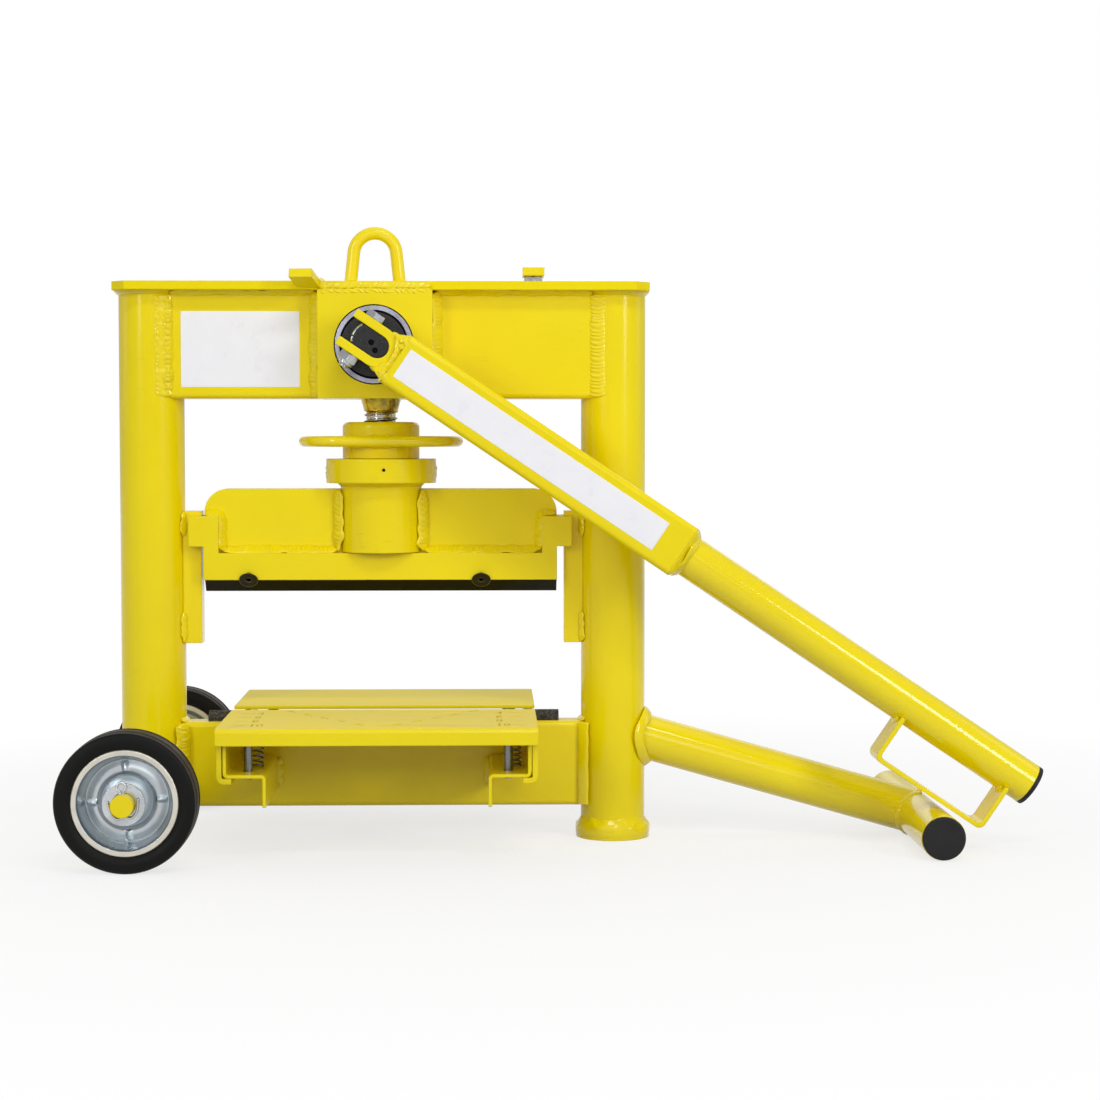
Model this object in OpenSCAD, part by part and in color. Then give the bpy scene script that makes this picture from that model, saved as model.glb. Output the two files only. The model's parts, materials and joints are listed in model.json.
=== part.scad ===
// Masonry block splitter: a portal frame with an eccentric press, a height-set upper blade,
// two sprung tables, two wheels and a stand. Millimetres, +Z up, +X along the stand, -Y the user's side.

/* [Frame] */
// Distance of each post axis beyond the blade's end
post_side = 51.5; // [40:0.5:75]
// Outside diameter of a post
post_d = 60.3; // [54:0.1:70]
// Wall of a post
post_wall = 4; // [2:0.5:6]
// Height of the top of the posts above the ground
post_top = 514; // [450:1:600]
// Height of the right post's round foot
foot_h = 12; // [8:1:16]
// Diameter of the round foot
foot_d = 69; // [64:1:84]
// Height of the upper beam
upper_beam_h = 100; // [96:1:104]
// Depth of the upper beam, front to back
upper_beam_d = 50; // [44:1:54]
// Height of the underside of the lower beam
lower_beam_z = 31; // [26:1:36]
// Height of the lower beam
lower_beam_h = 80; // [74:1:82]
// Depth of the lower beam, front to back
lower_beam_d = 30; // [26:1:36]
// Wall of both beams
beam_wall = 4; // [2:0.5:5]
// Outside corner radius of the beams
beam_corner = 5; // [3:0.5:7]

/* [Top plate] */
// Overhang of the top plate beyond each post
plate_over = 2.35; // [0.35:0.5:23.35]
// Depth of the top plate, front to back
plate_d = 84; // [80:1:90]
// Thickness of the top plate
plate_t = 8; // [6:1:14]
// Length of the cut corners along the plate
corner_x = 13; // [6:1:20]
// Depth of the cut corners across the plate
corner_y = 14; // [8:1:30]
// Rod diameter of the lifting eye
eye_rod = 12; // [8:1:14]
// Width of the eye's bend, centre to centre of the rod
eye_w = 40; // [34:1:50]
// Height of the eye above the plate
eye_h = 53; // [46:1:70]
// Splay of the eye's legs, in degrees
eye_splay = 6; // [0:1:12]
// Place of the lifting eye along the plate
eye_x = -7; // [-12:1:6]
// Width of the lever stop
stop_w = 21; // [16:1:26]
// Thickness of the lever stop
stop_t = 8; // [4:0.5:9]
// Length of the lever stop
stop_l = 46; // [40:1:52]
// Right edge of the lever stop, where the lever leans
stop_x = -56; // [-62:1:-54]
// Rise of the lever stop towards the front, in degrees
stop_rise = 14; // [6:1:20]
// Turn of the lever stop away from square, in degrees
stop_turn = 10; // [0:1:14]
// Place of the keeper along the plate
keeper_x = 141; // [120:1:170]
// Width of the keeper
keeper_w = 20; // [18:1:26]
// Thickness of the keeper
keeper_t = 7.5; // [5:0.5:10]
// Depth of the keeper, front to back
keeper_l = 40; // [30:1:52]

/* [Eccentric] */
// Place of the eccentric shaft's axis across the frame
shaft_x = -6.5; // [-7.5:0.5:-5.5]
// Depth of the eccentric shaft's axis below the posts' top
shaft_drop = 50.4; // [47:0.1:53]
// Distance of the eccentric from the shaft axis
throw = 8; // [6:0.1:8.2]
// Angle of the eccentric below level, with the lever down
throw_angle = 65; // [58:0.5:73]
// Diameter of the shaft's journals
journal_d = 60; // [59.6:0.1:62]
// Diameter of the eccentric
eccentric_d = 43; // [40:0.5:43.5]
// Wall of the two shaft bushes
bush_wall = 6; // [4:0.5:7]
// Width of the eccentric housing
housing_w = 106; // [100:1:110]
// Depth of the eccentric housing, front to back
housing_d = 92; // [88:1:94]
// Wall of the housing at its two ends
housing_wall = 10; // [6:1:12]
// Length of the bushes, which is the housing's front and back wall
bush_l = 18; // [14:1:20]
// Diameter of the shaft's stub in the fork
stub_d = 38; // [36:0.5:40]
// Width across the stub's two flats
stub_flats = 21; // [19:0.5:23]

/* [Lever] */
// Length of the lever from the shaft axis to its end
lever_reach = 728; // [725:1:790]
// Place of the lever's middle plane in front of the frame
lever_out = 80; // [78:1:90]
// Width of the square lever box
box_w = 50; // [46:1:52]
// Wall of the lever box
box_wall = 4; // [2.5:0.5:4.5]
// Outside corner radius of the lever box
box_corner = 5; // [4.5:0.5:8]
// Distance from the shaft axis to the end of the lever box
box_end = 343; // [300:1:380]
// Outside diameter of the lever tube
tube_d = 38.6; // [36:0.1:40.4]
// Wall of the lever tube
tube_wall = 3; // [2:0.5:4]
// Thickness of the fork strap
strap_t = 8; // [6:0.5:9]
// Width of the fork strap, front to back
strap_w = 34; // [30:1:38]
// Diameter of the fork bolt
fork_bolt_d = 10; // [8:1:11]
// Distance of the fork bolt beyond the shaft axis
fork_bolt_s = 10.5; // [9:0.5:11]
// Distance of the grip loop from the lever's end
loop_in = 20; // [11:1:49]
// Length of the grip loop
loop_l = 119; // [104:1:122]
// Depth of the grip loop below the lever's axis
loop_drop = 59.228; // [55.828:0.2:67.428]
// Width of the grip loop's strap
loop_w = 40; // [30:1:44]
// Thickness of the grip loop's strap
loop_t = 4; // [3:0.5:6]
// Room between the grip loop and the crossbar with the lever down
loop_rest = 3.4; // [0.4:0.1:5]

/* [Spindle and handwheel] */
// Place of the spindle and carriage across the frame
spindle_x = -2; // [-3:0.5:-1]
// Diameter of the threaded spindle
spindle_d = 32; // [28:1:36]
// Diameter of the spindle's neck under the yoke
neck_d = 38; // [37:0.5:40]
// Room between the side bars' top and the spindle's lower end
spindle_over = 6; // [5:0.5:12]
// Room between the handwheel's nut and the upper beam
nut_room = 21.5; // [19:0.5:26]
// Height of the handwheel's nut above the collar
wheel_nut_h = 34.2; // [27.2:0.1:35.2]
// Diameter of the handwheel's nut
nut_d = 72; // [66:1:80]
// Diameter of the nut's neck, which turns in the collar
nut_neck_d = 52; // [46:1:54]
// Rod diameter of the handwheel's grip
grip_rod = 10; // [8:1:12]
// Length of the handwheel's grip
grip_l = 154; // [130:1:180]

/* [Carriage] */
// Outside diameter of the collar
collar_d = 103; // [94:1:108]
// Height of the collar
collar_h = 22.5; // [22:0.5:26]
// Outside diameter of the sleeve
sleeve_d = 76; // [74:1:82]
// Bore of the sleeve
sleeve_bore = 60.4; // [60:0.1:64]
// Length of the upper blade and the carriage's web
blade_l = 330; // [320:1:400]
// Thickness of the web and width of the upper blade
web_t = 20; // [16:0.5:24]
// Depth of the web's top below the collar
web_drop = 5.5; // [1.5:0.5:6.5]
// Corner radius at the top of the web
web_corner = 22; // [10:1:28]
// Height of the carriage from the blade's edge to the web's top
carriage_h = 96.6; // [94:0.1:99]
// Height of the upper blade's bevels
bevel_h = 11.6; // [9:0.1:14]
// Thickness of the two side bars
bar_t = 12; // [8:0.5:13]
// Height of the side bars
bar_h = 25; // [22:0.5:26]
// Depth of the ears' top below the web's top
ear_drop = 25.4; // [24:0.1:29]
// Height of the ears
ear_h = 28.4; // [22:0.1:30]
// Length of each ear beyond the blade's end
ear_over = 14; // [10:0.5:15]
// Width of the side bars' uprights
upright_w = 14; // [10:0.5:18]
// Place of the left blade screw from the carriage's middle
screw_left = -123; // [-140:1:-60]
// Place of the right blade screw from the carriage's middle
screw_right = 94; // [60:1:140]
// Head diameter of the blade screws
screw_head_d = 18; // [14:0.5:20]
// Thread diameter of the blade screws
screw_d = 10; // [8:0.5:10]
// Mean gap between the blade's ends and the guide bars
guide_gap = 5; // [4.5:0.5:8]
// Height of the lower end of the guide bars
guide_z = 185; // [170:1:200]
// Height of the guide bars above the ears
guide_over = 4.4; // [0.4:0.5:30.4]

/* [Tables] */
// Width of each table
table_w = 285; // [270:1:300]
// Height of the front table's top
table_top = 122; // [121:0.5:124]
// Distance of each table's outer edge from the blade plane
table_out = 158; // [150:1:166]
// Distance of each table's inner edge from the blade plane
table_in = 11; // [10:0.5:14]
// Thickness of the table plates
table_t = 3; // [2:0.5:4]
// Depth of the tables' turned-down lip
lip_h = 15; // [10:1:18]
// How much higher the back table stands
back_lift = 1; // [0:0.5:3]
// Travel of each table on its springs
table_travel = 6; // [3:0.5:7]
// Height of the underside of the front brackets' shelves
shelf_z = 77; // [74:0.5:79]
// Thickness of the bracket plates
bracket_t = 3; // [2:0.5:4]
// Width of the bracket shelves
shelf_w = 38; // [36:1:42]
// Depth of the brackets' inner legs below the shelf
leg_h = 26; // [16:1:30]
// Thickness of the table hooks
hook_t = 5; // [3:0.5:5]
// Length of the table hooks, front to back
hook_l = 35; // [24:1:44]
// Reach of the hooks' feet under the shelves
hook_foot = 13.5; // [10:0.5:16]
// Diameter of the table guide rods
rod_d = 8; // [6:0.5:10]
// Outside diameter of the table springs
spring_d = 12; // [10:0.5:14]
// Wire diameter of the table springs
spring_wire = 1.6; // [1.2:0.1:2]
// Number of curls in a table spring
spring_curls = 8; // [6:1:10]
// Height of the lower blade's edge
lower_edge_z = 120.5; // [119:0.5:121]
// Width of the lower blade
lower_blade_w = 16; // [14:0.5:18]

/* [Wheels] */
// Outside diameter of the tyres
wheel_d = 124; // [118:1:140]
// Width of the tyres
wheel_w = 37.5; // [30:0.5:42]
// Distance of each wheel's middle plane from the blade plane
wheel_y = 175; // [172:1:200]
// Diameter of the axle
axle_d = 20; // [16:1:22]
// Outside diameter of the rim
rim_d = 98.5; // [92:0.5:102]
// Length of the wheel hubs
hub_l = 37; // [36:0.5:44]
// Outside diameter of the axle washers
washer_d = 37; // [30:1:44]
// Thickness of the axle washers
washer_t = 3; // [2:0.5:4]
// Diameter of the split pins
pin_d = 3.2; // [2.5:0.1:5]

/* [Stand] */
// Distance of the stand's crossbar from the right post's axis
stand_reach = 289; // [286:1:294]
// Diameter of the stand's crossbar
stand_d = 40; // [36:1:41]
// Diameter of the stand's leg
leg_d = 42; // [36:1:44]
// Wall of the stand's tubes
stand_wall = 3; // [2:0.5:4]
// Length of the crossbar
crossbar_l = 286; // [240:2:320]
// Height of the leg's axis on the right post's axis
stand_z = 103; // [92:1:112]
// Thickness of the plugs' heads
plug_t = 4; // [3:0.5:6]

/* [Clearances] */
// Room between coped or pressed pieces of one welded body
weld_gap = 0.1; // [0.05:0.01:0.2]
// Radial clearance of a running shaft
run_fit = 0.05; // [0.02:0.01:0.1]
// Room between pieces that slide or rest on each other
slide_gap = 0.3; // [0.25:0.05:0.4]

/* [Hidden] */
$fn = 96;

paint = "gold";
dark = "dimgray";
zinc = "silver";
over = 1;

// The blade's length sets the width of the frame
post_pitch = blade_l + 2 * post_side;
post_x = post_pitch / 2;
guide_x = blade_l / 2 + guide_gap;
ear_l = blade_l + 2 * ear_over;
post_r = post_d / 2;
plate_l = 2 * (post_x + post_r + plate_over);
wheel_r = wheel_d / 2;
axle_x = -post_x;
stand_r = stand_d / 2;
crossbar_x = post_x + stand_reach;
tube_r = tube_d / 2;
upper_beam_z = post_top - upper_beam_h;
shaft_z = post_top - shaft_drop;

// The lever lies at the angle at which its loop clears the crossbar by loop_rest
rest_x = crossbar_x - shaft_x;
rest_z = shaft_z - stand_r;
rest_d = loop_drop + stand_r + loop_rest;
lever_rest = acos(rest_d / norm([rest_x, rest_z])) - atan2(rest_x, rest_z);
loop_s = lever_reach - loop_in - loop_l;

// The part stands on the middle of its own footprint box
left_end = axle_x - wheel_r;
right_end = shaft_x + lever_reach * cos(lever_rest) + tube_r * sin(lever_rest);
mid_x = (left_end + right_end) / 2;

plate_top = post_top + plate_t;
beam_top = lower_beam_z + lower_beam_h;
housing_x = shaft_x + 1;
housing_left = housing_x - housing_w / 2;
housing_right = housing_x + housing_w / 2;
housing_front = housing_d / 2;
cavity_d = housing_d - 2 * bush_l;
bush_d = journal_d + 2 * bush_wall;

// The eccentric and the yoke that it lifts
throw_x = throw * cos(throw_angle);
throw_z = -throw * sin(throw_angle);
yoke_play = 1.4;
yoke_slot_h = eccentric_d + 2 * yoke_play;
yoke_slot_w = eccentric_d + 10;
yoke_side = 8;
yoke_top_t = 10;
yoke_floor = 10;
yoke_t = 40;
stub_chamfer = 2;
yoke_z = shaft_z + throw_z - yoke_slot_h / 2 - yoke_floor;
neck_hole_d = neck_d + 6;
housing_floor = yoke_z - slide_gap - upper_beam_z;
taper_h = 11;
ring_w = 2.5;
ring_bite = 2;

// Lever pieces, measured along the lever from the shaft axis
strap_in = stub_flats / 2 + slide_gap / 2;
strap_out = strap_in + strap_t;
strap_bend_s = 6.6;
strap_over = 7.5;
strap_end_s = -stub_d / 2 - strap_over;
nose_s = strap_bend_s + strap_t;
nose_l = 13;
box_s = nose_s + nose_l;
end_plate_t = 5;
end_slope = 4;
end_land = 1;
cap_t = 4;
cap_stem = 20;
tube_seat = 40;
tube_s = box_end - tube_seat;
stub_sink = 2;
stub_front = lever_out + strap_w / 2 - stub_sink;
bolt_head = fork_bolt_d * 1.7;
bolt_head_h = fork_bolt_d * 0.64;
nut_h = fork_bolt_d * 0.8;
nut_collar = fork_bolt_d * 0.3;
centre_hole_d = 5;
centre_hole_h = 6;
hole_room = 0.5;
keeper_nut_h = 6;
keeper_in = 12;

loop_top = tube_r * 0.7;
loop_corner = 7;

// Press pieces, downwards from the upper beam
nut_top = upper_beam_z - nut_room;
nut_z = nut_top - wheel_nut_h;
collar_top = nut_z - slide_gap;
collar_z = collar_top - collar_h;
web_top = collar_z - web_drop;
edge_z = web_top - carriage_h;
ear_top = web_top - ear_drop;
guide_l = ear_top + guide_over - guide_z;
bar_z = edge_z + bevel_h;
bar_top = bar_z + bar_h;
spindle_z = bar_top + spindle_over;
sleeve_z = bar_top + 0.5;
blade_h = 17;
blade_top = bar_z + blade_h;
blade_tip = 0.6;
ear_z = ear_top - ear_h;
half_web = web_t / 2;
guide_t = web_t - 2 * slide_gap;
screw_tilt = 40;
screw_l = 30;
screw_cone_h = (screw_head_d - screw_d) / 2;
socket_d = 6;
socket_h = 5;
ring_h = 5;
ring_d = sleeve_bore - 1;
ring_groove = 6;
ring_top = collar_z - slide_gap;
neck_end = ring_top - ring_h - 2;
grip_rise = 16;
grip_z = nut_z + grip_rise;
nut_round = 5;
grease_hole = 3;

// Tables, brackets and springs
bracket_in = lower_beam_d / 2 + weld_gap;
bracket_inset = 10;
fold_in = 1.5;
bracket_out = table_out - bracket_inset;
hook_x = table_w / 2 - hook_t;
hook_room = 0.7;
upright_x = hook_x - slide_gap - hook_room;
shelf_in = upright_x - shelf_w;
shelf_top = shelf_z + bracket_t;
table_room = 1;
upright_top = table_top - table_t - table_travel - table_room;
rod_side = 20;
rod_x = upright_x - rod_side;
rod_inset = 26;
rod_y = bracket_out - rod_inset;
rod_below = 4;
rod_end = shelf_z - rod_below;
spring_side = 6;
spring_behind = 26;
spring_y = rod_y - spring_behind;
spring_room = 0.2;
spring_h = table_top - table_t - shelf_top - 2 * spring_room;
lip_round = 4;
lower_shoulder = 4;
dash_l = 15;
dash_w = 2.5;
dash_count = 5;
tick_l = 12;
tick_w = 2;
tick_in = 12;
tick_count = 4;

// Wheels and axle
bush_out_d = axle_d + 7;
hub_gap = slide_gap;
washer_y = wheel_y + hub_l / 2 + hub_gap;
pin_y = washer_y + washer_t + pin_d / 2 + 0.2;
axle_end = pin_y + pin_d / 2 + 8;
pin_turn = 6;
pin_l = axle_d + 6;
rim_r = rim_d / 2;
rim_in = wheel_w / 2 - 2;
lip_w = 5;
dish_y = 4;
crest_y = 6.5;

module placed() {
    translate([-mid_x, 0, 0]) children();
}

// A round bar along X, Y or Z between two places
module bar_x(d, x0, x1) {
    translate([x0, 0, 0]) rotate([0, 90, 0]) cylinder(d = d, h = x1 - x0);
}

module bar_y(d, y0, y1) {
    translate([0, y1, 0]) rotate([90, 0, 0]) cylinder(d = d, h = y1 - y0);
}

module bar_zz(d, z0, z1) {
    translate([0, 0, z0]) cylinder(d = d, h = z1 - z0);
}

// An outline in X and Z, given a depth along Y about the origin
module plate_xz(depth) {
    rotate([90, 0, 0]) linear_extrude(height = depth, center = true) children();
}

// An outline in Y and Z, drawn out along X between two places
module profile_x(x0, x1) {
    translate([x0, 0, 0]) rotate([90, 0, 90]) linear_extrude(height = x1 - x0) children();
}

module round_rect(w, h, r) {
    square([w - 2 * r, h], center = true);
    square([w, h - 2 * r], center = true);
    for (sx = [-1, 1])
        for (sy = [-1, 1])
            translate([sx * (w / 2 - r), sy * (h / 2 - r)]) circle(r = r);
}

module box_section(w, h, wall, r) {
    difference() {
        round_rect(w, h, r);
        round_rect(w - 2 * wall, h - 2 * wall, max(r - wall, 0.5));
    }
}

// A strip of sheet bent squarely at the points of a path, with round folds
function way(a, b) = (b - a) / norm(b - a);

module bent_strip(path, t) {
    last = len(path) - 1;
    r = fold_in + t / 2;
    for (i = [0 : last - 1]) {
        from = path[i] + (i > 0 ? r : 0) * way(path[i], path[i + 1]);
        to = path[i + 1] - (i < last - 1 ? r : 0) * way(path[i], path[i + 1]);
        translate(from) rotate(atan2(to.y - from.y, to.x - from.x)) translate([0, -t / 2]) square([norm(to - from), t]);
    }
    for (i = [1 : last - 1]) {
        before = way(path[i], path[i - 1]);
        after = way(path[i], path[i + 1]);
        centre = path[i] + r * (before + after);
        reach = r + t;
        intersection() {
            translate(centre) difference() {
                circle(r = r + t / 2);
                circle(r = r - t / 2);
            }
            polygon([
                centre, centre - reach * before, centre - reach * (before + after), centre - reach * after
            ]);
        }
    }
}

module post_cylinder(x, room) {
    translate([x, 0, 0]) bar_zz(post_d + 2 * room, -over, post_top + over);
}

module axle_hole(room) {
    translate([axle_x, 0, wheel_r]) bar_y(axle_d + 2 * room, -axle_end, axle_end);
}

module left_post() {
    color(paint) placed() difference() {
        translate([-post_x, 0, 0]) bar_zz(post_d, lower_beam_z, post_top);
        translate([-post_x, 0, 0]) bar_zz(post_d - 2 * post_wall, lower_beam_z - over, post_top + over);
        axle_hole(weld_gap);
    }
}

module right_post() {
    color(paint) placed() difference() {
        translate([post_x, 0, 0]) bar_zz(post_d, foot_h, post_top);
        translate([post_x, 0, 0]) bar_zz(post_d - 2 * post_wall, foot_h - over, post_top + over);
    }
}

module foot_disc() {
    foot_round = 3;
    color(paint) placed() translate([post_x, 0, 0]) rotate_extrude() {
        square([foot_d / 2 - foot_round, foot_h]);
        square([foot_d / 2, foot_h - foot_round]);
        translate([foot_d / 2 - foot_round, foot_h - foot_round]) circle(r = foot_round);
    }
}

module top_plate() {
    l = plate_l / 2;
    d = plate_d / 2;
    side = [
        [l, d - corner_y], [l - corner_x, d], [corner_x - l, d], [-l, d - corner_y],
        [-l, corner_y - d], [corner_x - l, -d], [l - corner_x, -d], [l, corner_y - d]
    ];
    color(paint) placed() translate([0, 0, post_top]) linear_extrude(height = plate_t) polygon(side);
}

module upper_beam(x0, x1) {
    color(paint) placed() difference() {
        translate([0, 0, post_top - upper_beam_h / 2]) profile_x(x0, x1)
            box_section(upper_beam_d, upper_beam_h, beam_wall, beam_corner);
        post_cylinder(-post_x, weld_gap);
        post_cylinder(post_x, weld_gap);
    }
}

module upper_beam_left() {
    upper_beam(-post_x, housing_left);
}

module upper_beam_right() {
    upper_beam(housing_right, post_x);
}

module eccentric_housing() {
    inner_w = housing_w - 2 * housing_wall;
    color(paint) placed() difference() {
        translate([housing_left, -housing_front, upper_beam_z]) cube([housing_w, housing_d, upper_beam_h]);
        translate([housing_left + housing_wall, -cavity_d / 2, upper_beam_z + housing_floor])
            cube([inner_w, cavity_d, upper_beam_h]);
        translate([shaft_x, 0, shaft_z]) bar_y(bush_d, -housing_front - over, housing_front + over);
        translate([spindle_x, 0, 0]) bar_zz(neck_hole_d, upper_beam_z - over, upper_beam_z + housing_floor + over);
    }
}

module shaft_bushes() {
    color(zinc) placed() translate([shaft_x, 0, shaft_z])
        for (side = [0, 180])
            rotate([0, 0, side]) difference() {
                bar_y(bush_d - 2 * weld_gap, cavity_d / 2, housing_front);
                bar_y(journal_d + 2 * run_fit, cavity_d / 2 - over, housing_front + over);
            }
}

module lower_beam() {
    color(paint) placed() difference() {
        translate([0, 0, lower_beam_z + lower_beam_h / 2]) profile_x(-post_x, post_x)
            box_section(lower_beam_d, lower_beam_h, beam_wall, beam_corner);
        post_cylinder(-post_x, weld_gap);
        post_cylinder(post_x, weld_gap);
    }
}

module lower_blade() {
    w = lower_blade_w / 2;
    shoulder = beam_top + lower_shoulder;
    edge = [
        [-w, beam_top], [w, beam_top], [w, shoulder],
        [blade_tip, lower_edge_z], [-blade_tip, lower_edge_z], [-w, shoulder]
    ];
    color(dark) placed() profile_x(-blade_l / 2, blade_l / 2) polygon(edge);
}

module guide_bar(side) {
    x0 = side < 0 ? -post_x : guide_x;
    color(paint) placed() difference() {
        translate([x0, -guide_t / 2, guide_z]) cube([post_x - guide_x, guide_t, guide_l]);
        post_cylinder(side * post_x, weld_gap);
    }
}

module guide_bar_left() {
    guide_bar(-1);
}

module guide_bar_right() {
    guide_bar(1);
}

module crossbar_cylinder(d) {
    translate([crossbar_x, 0, stand_r]) bar_y(d, -crossbar_l / 2, crossbar_l / 2);
}

module stand_leg() {
    drop = stand_z - leg_d / 2;
    slope = atan2(drop, stand_reach);
    run = norm([drop, stand_reach]);
    color(paint) placed() difference() {
        translate([post_x, 0, stand_z]) rotate([0, slope, 0]) difference() {
            bar_x(leg_d, 0, run);
            bar_x(leg_d - 2 * stand_wall, -over, run + over);
        }
        post_cylinder(post_x, weld_gap);
        crossbar_cylinder(stand_d + 2 * weld_gap);
    }
}

module stand_crossbar() {
    color(paint) placed() difference() {
        crossbar_cylinder(stand_d);
        translate([crossbar_x, 0, stand_r]) bar_y(stand_d - 2 * stand_wall, -crossbar_l, crossbar_l);
    }
}

// A plug with a rounded head and a stem that fills the tube's end
module plug(head_d, stem_d, head_t) {
    stem_l = 20;
    edge = min(2, head_t / 2);
    rotate_extrude() {
        translate([0, -stem_l]) square([stem_d / 2, stem_l]);
        square([head_d / 2, head_t - edge]);
        square([head_d / 2 - edge, head_t]);
        translate([head_d / 2 - edge, head_t - edge]) circle(r = edge);
    }
}

module crossbar_plugs() {
    bore = stand_d - 2 * stand_wall;
    color(dark) placed() translate([crossbar_x, 0, stand_r])
        for (side = [0, 180])
            rotate([0, 0, side]) translate([0, -crossbar_l / 2, 0]) rotate([90, 0, 0])
                plug(stand_d - 1, bore - 2 * weld_gap, plug_t);
}

module pin_space(side, room) {
    translate([axle_x, side * pin_y, wheel_r]) rotate([0, -pin_turn, 0])
        bar_zz(pin_d + 2 * room, -pin_l / 2, pin_l / 2);
}

module axle() {
    color(paint) placed() difference() {
        axle_hole(0);
        pin_space(-1, weld_gap);
        pin_space(1, weld_gap);
    }
}

module axle_spacers() {
    y1 = wheel_y - hub_l / 2 - hub_gap;
    color(paint) placed() difference() {
        translate([axle_x, 0, wheel_r])
            for (side = [0, 180])
                rotate([0, 0, side]) difference() {
                    bar_y(bush_out_d, post_r / 2, y1);
                    bar_y(axle_d + 2 * weld_gap, 0, y1 + over);
                }
        post_cylinder(-post_x, weld_gap);
    }
}

module axle_washers() {
    color(zinc) placed() translate([axle_x, 0, wheel_r])
        for (side = [0, 180])
            rotate([0, 0, side]) difference() {
                bar_y(washer_d, washer_y, washer_y + washer_t);
                bar_y(axle_d + 2 * slide_gap, washer_y - over, washer_y + washer_t + over);
            }
}

// Each pin ends in a closed eye
module split_pins() {
    eye = 1.3 * pin_d;
    color(zinc) placed()
        for (side = [-1, 1])
            translate([axle_x, side * pin_y, wheel_r]) rotate([0, -pin_turn, 0]) {
                bar_zz(pin_d, -pin_l / 2, pin_l / 2);
                translate([0, 0, pin_l / 2 + eye - pin_d / 4]) rotate([90, 0, 0])
                    rotate_extrude() translate([eye, 0]) circle(d = pin_d * 0.8);
            }
}

// A bent rod whose two legs splay towards the plate
module lifting_eye() {
    bend = eye_w / 2;
    bend_z = plate_top + eye_h - bend - eye_rod / 2;
    color(paint) placed() translate([eye_x, 0, bend_z]) difference() {
        union() {
            rotate([90, 0, 0]) rotate([0, 0, -eye_splay]) rotate_extrude(angle = 180 + 2 * eye_splay)
                translate([bend, 0]) circle(d = eye_rod);
            for (side = [0, 180])
                rotate([0, 0, side]) rotate([0, -eye_splay, 0]) translate([bend, 0, 0])
                    bar_zz(eye_rod, -eye_h, 0);
        }
        translate([0, 0, plate_top - bend_z - eye_h]) cube([4 * eye_w, eye_w, 2 * eye_h], center = true);
    }
}

module lever_stop() {
    seat = plate_d / 2;
    grip = 14;
    color(paint) placed() difference() {
        translate([stop_x, -seat, plate_top]) rotate([-stop_rise, 0, -stop_turn])
            translate([-stop_w, grip - stop_l, -stop_t * 0.8]) cube([stop_w, stop_l, stop_t]);
        translate([-plate_l / 2, -seat - weld_gap, 0]) cube([plate_l, plate_d, plate_top + weld_gap]);
    }
}

module keeper_tab() {
    front = plate_d / 2 - keeper_in;
    z0 = plate_top + keeper_nut_h;
    color(paint) placed() difference() {
        translate([keeper_x - keeper_w / 2, -front, z0]) cube([keeper_w, keeper_l, keeper_t]);
        translate([keeper_x, keeper_l / 2 - front, 0])
            bar_zz(fork_bolt_d + hole_room, z0 - over, z0 + keeper_t + over);
    }
}

// A nut under the tab on a stud that ends flush with the tab's top
module keeper_bolt() {
    y = keeper_l / 2 - plate_d / 2 + keeper_in;
    color(zinc) placed() translate([keeper_x, y, plate_top]) {
        cylinder(d = bolt_head / cos(30), h = keeper_nut_h, $fn = 6);
        bar_zz(fork_bolt_d, 0, keeper_nut_h + keeper_t);
    }
}

// One Z-shaped bracket on the right, with the guide rod's hole in its shelf
module bracket() {
    mid = bracket_t / 2;
    path = [
        [upright_x - mid, upright_top], [upright_x - mid, shelf_z + mid],
        [shelf_in + mid, shelf_z + mid], [shelf_in + mid, shelf_z - leg_h]
    ];
    length = bracket_out - bracket_in;
    difference() {
        translate([0, -bracket_in - length / 2, 0]) plate_xz(length) bent_strip(path, bracket_t);
        translate([rod_x, -rod_y, 0]) bar_zz(rod_d + 2 * slide_gap, shelf_z - over, shelf_top + over);
    }
}

// Left and right copies for the front table, or for the back table at its own height
module table_pair(back) {
    translate([0, 0, back ? back_lift : 0]) mirror([0, back ? 1 : 0, 0])
        for (side = [0, 1])
            mirror([side, 0, 0]) children();
}

module table_brackets() {
    color(paint) placed() {
        table_pair(false) bracket();
        table_pair(true) bracket();
    }
}

// A helix with straight ends, swept by a six-sided wire
spring_sides = 6;
spring_rings = 8;
spring_mean = (spring_d - spring_wire) / 2;
spring_path = [
    [spring_mean, 0, 0],
    for (i = [0 : spring_curls * spring_rings])
        let (turn = i / spring_rings)
            [
                spring_mean * cos(360 * turn), spring_mean * sin(360 * turn),
                spring_wire + (spring_h - 2 * spring_wire) * turn / spring_curls
            ],
    [spring_mean, 0, spring_h]
];
function ahead(p, i) = p[min(i + 1, len(p) - 1)] - p[max(i - 1, 0)];
function flat(i) = i == 0 || i == len(spring_path) - 1;
function along(i) = flat(i) ? [0, 0, 1] : ahead(spring_path, i) / norm(ahead(spring_path, i));
function outward(i) =
    let (p = spring_path[i])
    [p.x, p.y, 0] / norm([p.x, p.y, 0]);
function ring_at(i) = [
    for (k = [0 : spring_sides - 1])
        let (turn = 360 * k / spring_sides, side = cross(along(i), outward(i)))
            spring_path[i] + spring_wire / 2 * (cos(turn) * outward(i) + sin(turn) * side)
];
spring_gap = min([
    for (i = [0 : len(spring_path) - 1])
        for (j = [i + spring_rings / 2 : len(spring_path) - 1])
            norm(spring_path[i] - spring_path[j])
]) - spring_wire;
echo("least gap of a table spring to itself", spring_gap);

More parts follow.
